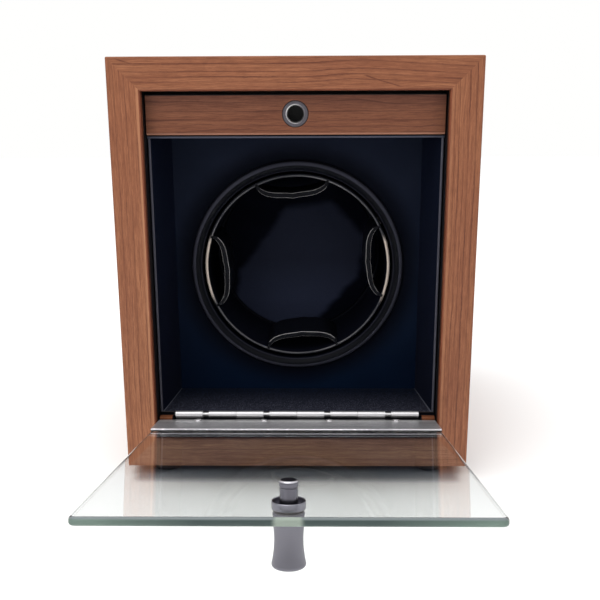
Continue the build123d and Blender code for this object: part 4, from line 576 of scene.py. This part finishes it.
def chrome(name, color=(0.62, 0.61, 0.62), rough=0.10):
    m = Mat(name)
    s = m.noise(m.mm, 1.3, 3.0, 0.6)
    m.set(color=m.mix(s, tuple(c * 0.88 for c in color), color), metal=1.0, rough=m.span(s, 0.3, 0.7, rough, rough + 0.08))
    return m


def rubber(name="rubber"):
    m = Mat(name)
    s = m.noise(m.mm, 2.4, 4.0, 0.65)
    m.set(color=m.mix(s, (0.011, 0.011, 0.012), (0.026, 0.025, 0.025)), rough=m.span(s, 0.3, 0.7, 0.62, 0.85), spec=0.35, normal=m.bump(s, 0.35, 0.08))
    return m


def plastic(name, c1, c2, rough=0.45, scale=2.5, bump=0.35):
    m = Mat(name)
    s = m.noise(m.mm, scale, 3.0, 0.6)
    v = m.voronoi(m.mm, 1.6)
    m.set(color=m.mix(s, c1, c2), rough=m.span(s, 0.3, 0.7, rough, rough + 0.15), normal=m.bump(m.math("MULTIPLY_ADD", v, 0.4, s), bump, 0.05))
    return m


def laminate():
    m = Mat("black_laminate")
    s = m.noise(m.scaled(m.mm, (2.2, 2.2, 0.08)), 1.0, 4.0, 0.6)
    t = m.noise(m.mm, 1.2, 3.0, 0.6)
    col = m.mix(m.span(s, 0.32, 0.68), (0.0055, 0.0054, 0.0056), (0.0290, 0.0275, 0.0265))
    # the dots round the selector are filled with pale paint
    for k in range(4):
        a = math.radians(165.0 - 50.0 * k)
        n = m.node("ShaderNodeVectorMath", operation="LENGTH")
        m.link(m.vec(m.math("SUBTRACT", m.x, 32.0 + DOT_R * math.cos(a)), 0.0, m.math("SUBTRACT", m.z, 140.0 + DOT_R * math.sin(a))), n.inputs[0])
        col = m.mix(m.span(n.outputs["Value"], 0.55, 0.70, 1.0, 0.0), col, (0.55, 0.54, 0.51))
    m.set(color=col, rough=m.span(t, 0.3, 0.7, 0.42, 0.60), normal=m.bump(s, 0.5, 0.07))
    return m


def dial_plastic():
    """The selector knob's plastic, with pale paint in the pointer groove."""
    m = Mat("dial_plastic")
    s = m.noise(m.mm, 5.0, 3.0, 0.6)
    a = math.radians(165.0)
    u = m.math("MULTIPLY_ADD", m.x, math.cos(a), m.math("MULTIPLY_ADD", m.z, math.sin(a), -32.0 * math.cos(a) - 140.0 * math.sin(a)))
    v = m.math("MULTIPLY_ADD", m.x, -math.sin(a), m.math("MULTIPLY_ADD", m.z, math.cos(a), 32.0 * math.sin(a) - 140.0 * math.cos(a)))
    g = m.math("MULTIPLY", m.span(m.math("ABSOLUTE", v), 0.50, 0.60, 1.0, 0.0), m.math("MULTIPLY", m.span(u, 2.2, 2.3), m.span(u, 6.9, 7.0, 1.0, 0.0)))
    g = m.math("MULTIPLY", g, m.math("MULTIPLY", m.span(m.y, FRONT + 189.0, FRONT + 189.2, 1.0, 0.0), m.span(m.y, FRONT + 188.3, FRONT + 188.5)))
    m.set(color=m.mix(g, m.mix(s, (0.016, 0.016, 0.017), (0.030, 0.029, 0.030)), (0.62, 0.61, 0.58)), rough=m.span(s, 0.3, 0.7, 0.34, 0.49), normal=m.bump(s, 0.3, 0.05))
    return m


def board():
    m = Mat("circuit_board")
    s = m.noise(m.mm, 0.9, 3.0, 0.5)
    tr = m.voronoi(m.scaled(m.mm, (0.35, 0.35, 0.35)), 1.0, "DISTANCE_TO_EDGE")
    m.set(color=m.mix(m.span(tr, 0.04, 0.07, 0.5, 0.0), m.mix(s, (0.008, 0.070, 0.026), (0.012, 0.105, 0.038)), (0.05, 0.20, 0.09)), rough=0.35, normal=m.bump(s, 0.2, 0.05))
    return m


def glass():
    """Clear float glass, faintly green through its length; it lets the lamps' light through to the floor. Its ground
    edges are matt and green."""
    m = Mat("float_glass")
    s, n = door_frame(m)
    grind = m.noise(m.scaled(m.mm, (1.2, 1.2, 6.0)), 1.0, 3.0, 0.6)
    w = m.noise(m.mm, 0.02, 2.0, 0.5)
    ax = m.math("ABSOLUTE", m.x)
    end = m.span(s, 165.95, 166.25)
    side = m.span(ax, 73.05, 73.30)
    edge = m.math("MAXIMUM", side, end)
    # the ground edges are green; on the long edge light is painted into the tone: darkest in its middle, paler to both
    # ends, a paler painted spot behind the handle and a greyer painted reflection on its upper arris. The side edges
    # get a grey painted reflection.
    tone = m.mix(m.span(ax, 30.0, 66.0), m.mix(grind, (0.036, 0.066, 0.060), (0.056, 0.094, 0.086)), m.mix(grind, (0.150, 0.225, 0.185), (0.190, 0.275, 0.230)))
    behind = m.span(m.math("ABSOLUTE", m.math("SUBTRACT", m.x, KNOB_X)), 3.6, 6.0, 1.0, 0.0, smooth=True)
    tone = m.mix(behind, tone, m.mix(grind, (0.36, 0.43, 0.36), (0.42, 0.49, 0.42)))
    tone = m.mix(m.math("MULTIPLY", m.span(n, -4.9, -4.4), m.math("SUBTRACT", 1.0, behind)), tone, (0.205, 0.240, 0.250))
    tone = m.mix(m.math("MULTIPLY", side, m.math("SUBTRACT", 1.0, end)), tone, (0.560, 0.545, 0.520))
    col = m.mix(edge, (0.995, 1.0, 0.998), tone)
    m.set(color=col, rough=m.span(m.math("MULTIPLY_ADD", edge, 0.42, m.math("MULTIPLY", w, 0.012)), 0.0, 1.0, 0.0, 1.0),
          trans=m.math("SUBTRACT", m.span(edge, 0.0, 1.0, 1.0, 0.42), m.math("MULTIPLY", m.math("MULTIPLY", side, m.math("SUBTRACT", 1.0, end)), 0.40)), ior=1.5, spec=0.5)
    lp = m.node("ShaderNodeLightPath")
    tr = m.node("ShaderNodeBsdfTransparent")
    tr.inputs[0].default_value = (0.975, 0.985, 0.98, 1)
    mx = m.node("ShaderNodeMixShader")
    m.link(lp.outputs["Is Shadow Ray"], mx.inputs[0])
    m.link(m.b.outputs[0], mx.inputs[1])
    m.link(tr.outputs[0], mx.inputs[2])
    m.link(mx.outputs[0], m.out.inputs[0])
    ab = m.node("ShaderNodeVolumeAbsorption")
    ab.inputs["Color"].default_value = (0.30, 0.72, 0.58, 1)
    ab.inputs["Density"].default_value = 6.0
    m.link(ab.outputs[0], m.out.inputs["Volume"])
    return m


BLACKWOOD = painted_wood()
# The same lining is given a different colour per board: the sides and ceiling darkest, the floor with the palest
# speckle. These differences are painted shade and light.
LINING = lining("lining_panel", (0.0074, 0.0108, 0.0240), (0.0108, 0.0148, 0.0300), (0.025, 0.031, 0.054), spec=0.08)
LINSIDE = lining("lining_sides", (0.0010, 0.0030, 0.0125), (0.0018, 0.0044, 0.0165), (0.006, 0.010, 0.026), spec=0.03, kind="side")
LINTOP = lining("lining_ceiling", (0.0010, 0.0030, 0.0125), (0.0018, 0.0044, 0.0165), (0.006, 0.010, 0.026), spec=0.03, kind="ceiling")
LINFLOOR = lining("lining_floor", (0.0030, 0.0042, 0.0100), (0.0050, 0.0064, 0.0135), (0.120, 0.122, 0.165), spec=0.06, kind="floor")
GLOSS = bezel_black()
LEAFMAT = leaf_black()
CUPMAT = cup_black()
SUEDE = suede()
STRIP = strip_metal()
HINGE = hinge_metal()
SCREW = chrome("nickel_screws", (0.86, 0.84, 0.85), 0.16)
KNOB = turned("gunmetal", (0.160, 0.157, 0.180), (0.205, 0.200, 0.226), ((0, 0, 0), (0, math.sin(ALPHA), math.cos(ALPHA))), 0.40)
COLLAR = turned("gunmetal_collar", (0.196, 0.191, 0.220), (0.245, 0.240, 0.272), ((0, 0, 0), (0, math.sin(ALPHA), math.cos(ALPHA))), 0.24)
PIN = pin_metal()
RING = ring_metal()
RUB = rubber()
WASHER = plastic("washer_fibre", (0.115, 0.105, 0.105), (0.165, 0.152, 0.150), 0.55, 4.0, 0.2)
ZINC = brushed("zinc_plate", (0.40, 0.39, 0.38), (0.56, 0.55, 0.53), 0.30, "none")
BLACKSCREW = brushed("blackened_steel", (0.035, 0.035, 0.037), (0.075, 0.073, 0.072), 0.34, "none")
BRONZE = brushed("sintered_bronze", (0.36, 0.21, 0.08), (0.50, 0.31, 0.13), 0.42, "none")
DRIVE = plastic("drive_plastic", (0.028, 0.029, 0.031), (0.050, 0.051, 0.054), 0.48)
STEEL = brushed("motor_steel", (0.36, 0.35, 0.34), (0.52, 0.51, 0.49), 0.28, "y")
BOARD = board()
LEAD = plastic("lead_insulation", (0.28, 0.020, 0.014), (0.40, 0.035, 0.024), 0.42, 1.0)
LAM = laminate()
CTRL = plastic("control_plastic", (0.012, 0.012, 0.013), (0.022, 0.022, 0.024), 0.42, 4.0)
DIAL = dial_plastic()
CTRL2 = plastic("knob_plastic", (0.016, 0.016, 0.017), (0.030, 0.029, 0.030), 0.34, 5.0)
GLASS = glass()

dress(BLACKWOOD, "lower_cleat", "upper_cleat")
dress(LINING, "face_panel")
dress(LINSIDE, "liner_left", "liner_right")
dress(LINTOP, "liner_ceiling")
dress(LINFLOOR, "liner_floor")
dress(GLOSS, "bezel_ring")
dress(CUPMAT, "rotor_cup")
dress(LEAFMAT, "leaf_right", "leaf_top", "leaf_left", "leaf_bottom")
dress(SUEDE, "cup_pad")
dress(GLASS, "glass_panel")
dress(STRIP, "door_strip")
dress(HINGE, "hinge_leaf", "door_leaf", "hinge_pin")
dress(SCREW, "hinge_leaf_screws", "door_leaf_screws")
dress(KNOB, "knob_body")
dress(COLLAR, "knob_collar")
dress(PIN, "latch_pin")
dress(RING, "catch_ring")
dress(RUB, "rubber_feet", "catch_insert", "drive_belt")
dress(WASHER, "knob_washers")
dress(BLACKSCREW, "wood_screws")
dress(ZINC, "bracket_screws", "motor_screws", "board_screws", "panel_nuts", "motor_spacers", "board_standoffs", "rotor_shaft", "motor_shaft", "shaft_clip", "selector_shaft")
dress(BRONZE, "shaft_bushings")
dress(DRIVE, "drive_bracket", "driven_pulley", "motor_pulley")
dress(STEEL, "motor_can", "gearbox_case")
dress(BOARD, "control_board")
dress(LEAD, "inner_leads")
dress(LAM, "rear_cover")
dress(CTRL, "dc_jack", "rocker_frame", "selector_switch")
dress(CTRL2, "rocker")
dress(DIAL, "selector_knob")


# ------------------------------------------------------------------ floor, light, camera
def floor():
    bm = bmesh.new()
    s, n = 2.4, 24
    for i in range(n + 1):
        for j in range(n + 1):
            bm.verts.new((-s + 2 * s * i / n, -s + 2 * s * j / n, 0.0))
    bm.verts.ensure_lookup_table()
    for i in range(n):
        for j in range(n):
            k = i * (n + 1) + j
            bm.faces.new((bm.verts[k], bm.verts[k + n + 1], bm.verts[k + n + 2], bm.verts[k + 1]))
    me = bpy.data.meshes.new("studio_floor")
    bm.to_mesh(me)
    o = bpy.data.objects.new("studio_floor", me)
    bpy.context.scene.collection.objects.link(o)
    m = Mat("studio_floor")
    c = m.noise(m.mm, 0.01, 2.0, 0.5)
    # painted shadow: the floor right beneath the case is darkened, as no light gets in there, with a soft painted
    # border in front of it
    ax = m.math("ABSOLUTE", m.x)
    painted_shade_under = m.math("MULTIPLY", m.span(ax, 82.0, 89.5, 1.0, 0.0, smooth=True), m.span(m.y, 168.0, 174.0, 1.0, 0.0, smooth=True))
    dark = m.ramp(m.span(m.y, FRONT - 10.0, FRONT + 12.0),
                  [(0.000, (0.920, 0.920, 0.911)), (0.114, (0.695, 0.703, 0.716)), (0.227, (0.454, 0.464, 0.481)),
                   (0.341, (0.323, 0.335, 0.352)), (0.455, (0.292, 0.305, 0.327)), (0.591, (0.289, 0.307, 0.335)),
                   (0.727, (0.239, 0.257, 0.286)), (0.864, (0.133, 0.145, 0.164)), (1.000, (0.094, 0.104, 0.120))])
    m.set(color=m.mix(painted_shade_under, m.mix(c, (0.915, 0.915, 0.905), (0.925, 0.925, 0.915)), dark), rough=0.85, spec=0.1)
    me.materials.append(m.m)
    return o


FLOOR = floor()

def studio_world():
    """A plain white tent: brightest overhead, dimmer towards the horizon and dimmest in front, where the room is.
    Seen straight on it is plain white."""
    w = bpy.data.worlds.new("studio")
    bpy.context.scene.world = w
    w.use_nodes = True
    nt = w.node_tree
    nt.nodes.clear()

    def node(kind, **kw):
        n_ = nt.nodes.new(kind)
        for k, v in kw.items():
            setattr(n_, k, v)
        return n_

    def calc(op, a_, b_, clamp=False):
        n_ = node("ShaderNodeMath", operation=op, use_clamp=clamp)
        for v, s in zip((a_, b_), n_.inputs):
            if hasattr(v, "links"):
                nt.links.new(v, s)
            else:
                s.default_value = v
        return n_.outputs[0]

    tc = node("ShaderNodeTexCoord")
    sp = node("ShaderNodeSeparateXYZ")
    nt.links.new(tc.outputs["Generated"], sp.inputs[0])
    x, y, z = sp.outputs
    up = calc("MAXIMUM", z, 0.0)
    lift = calc("POWER", up, 0.75)
    level = calc("ADD", calc("MULTIPLY", lift, W_TOPL), W_HOR)
    ahead = calc("MULTIPLY", calc("POWER", calc("MAXIMUM", calc("MULTIPLY", y, -1.0), 0.0), 3.0), calc("SUBTRACT", 1.0, up))
    level = calc("MULTIPLY", level, calc("SUBTRACT", 1.0, calc("MULTIPLY", ahead, W_FRONT)))
    lamp = node("ShaderNodeBackground")
    lamp.inputs[0].default_value = (0.985, 0.99, 1.0, 1)
    nt.links.new(level, lamp.inputs[1])
    seen = node("ShaderNodeBackground")
    seen.inputs[0].default_value = (1.0, 1.0, 0.992, 1)
    lp = node("ShaderNodeLightPath")
    mx = node("ShaderNodeMixShader")
    nt.links.new(lp.outputs["Is Camera Ray"], mx.inputs[0])
    nt.links.new(lamp.outputs[0], mx.inputs[1])
    nt.links.new(seen.outputs[0], mx.inputs[2])
    out = node("ShaderNodeOutputWorld")
    nt.links.new(mx.outputs[0], out.inputs[0])


W_HOR, W_TOPL, W_FRONT = 0.54, 0.94, 0.40
studio_world()


def area(name, loc, target, size, power, color=(1, 1, 1)):
    l = bpy.data.lights.new(name, "AREA")
    l.shape = "RECTANGLE"
    l.size, l.size_y = size
    l.energy = power
    l.color = color
    o = bpy.data.objects.new(name, l)
    o.location = loc
    o.rotation_euler = (Vector(target) - Vector(loc)).to_track_quat("-Z", "Y").to_euler()
    bpy.context.scene.collection.objects.link(o)
    return o


area("key", (-0.25, -0.25, 1.25), (0, 0, 0.08), (1.0, 1.0), 6.0)
soft = area("front_soft", (-0.70, -1.05, 0.55), (0, 0, 0.11), (0.7, 0.7), 2.4, (1.0, 0.98, 0.95))
soft.visible_glossy = False

cam_data = bpy.data.cameras.new("camera")
cam_data.sensor_width = 36.0
cam_data.lens = 36.0 * 814.75 / 600.0
cam = bpy.data.objects.new("camera", cam_data)
bpy.context.scene.collection.objects.link(cam)
yaw, pitch, roll = math.radians(-0.832), math.radians(13.903), math.radians(-0.231)
fwd = Vector((math.sin(yaw) * math.cos(pitch), math.cos(yaw) * math.cos(pitch), -math.sin(pitch)))
right = Vector((math.cos(yaw), -math.sin(yaw), 0.0))
up = right.cross(fwd)
r2 = right * math.cos(roll) + up * math.sin(roll)
u2 = -right * math.sin(roll) + up * math.cos(roll)
rot = Matrix((r2, u2, -fwd)).transposed()
cam.matrix_world = Matrix.Translation((0.00785, -0.41684, 0.19799)) @ rot.to_4x4()
bpy.context.scene.camera = cam

sc = bpy.context.scene
sc.view_settings.view_transform = "Standard"
sc.view_settings.look = "None"
sc.view_settings.exposure = 0.0
sc.cycles.use_denoising = True
sc.cycles.max_bounces = 16
sc.cycles.transmission_bounces = 14
sc.cycles.glossy_bounces = 6
sc.cycles.diffuse_bounces = 5
sc.cycles.sample_clamp_indirect = 8.0
sc.cycles.caustics_reflective = False
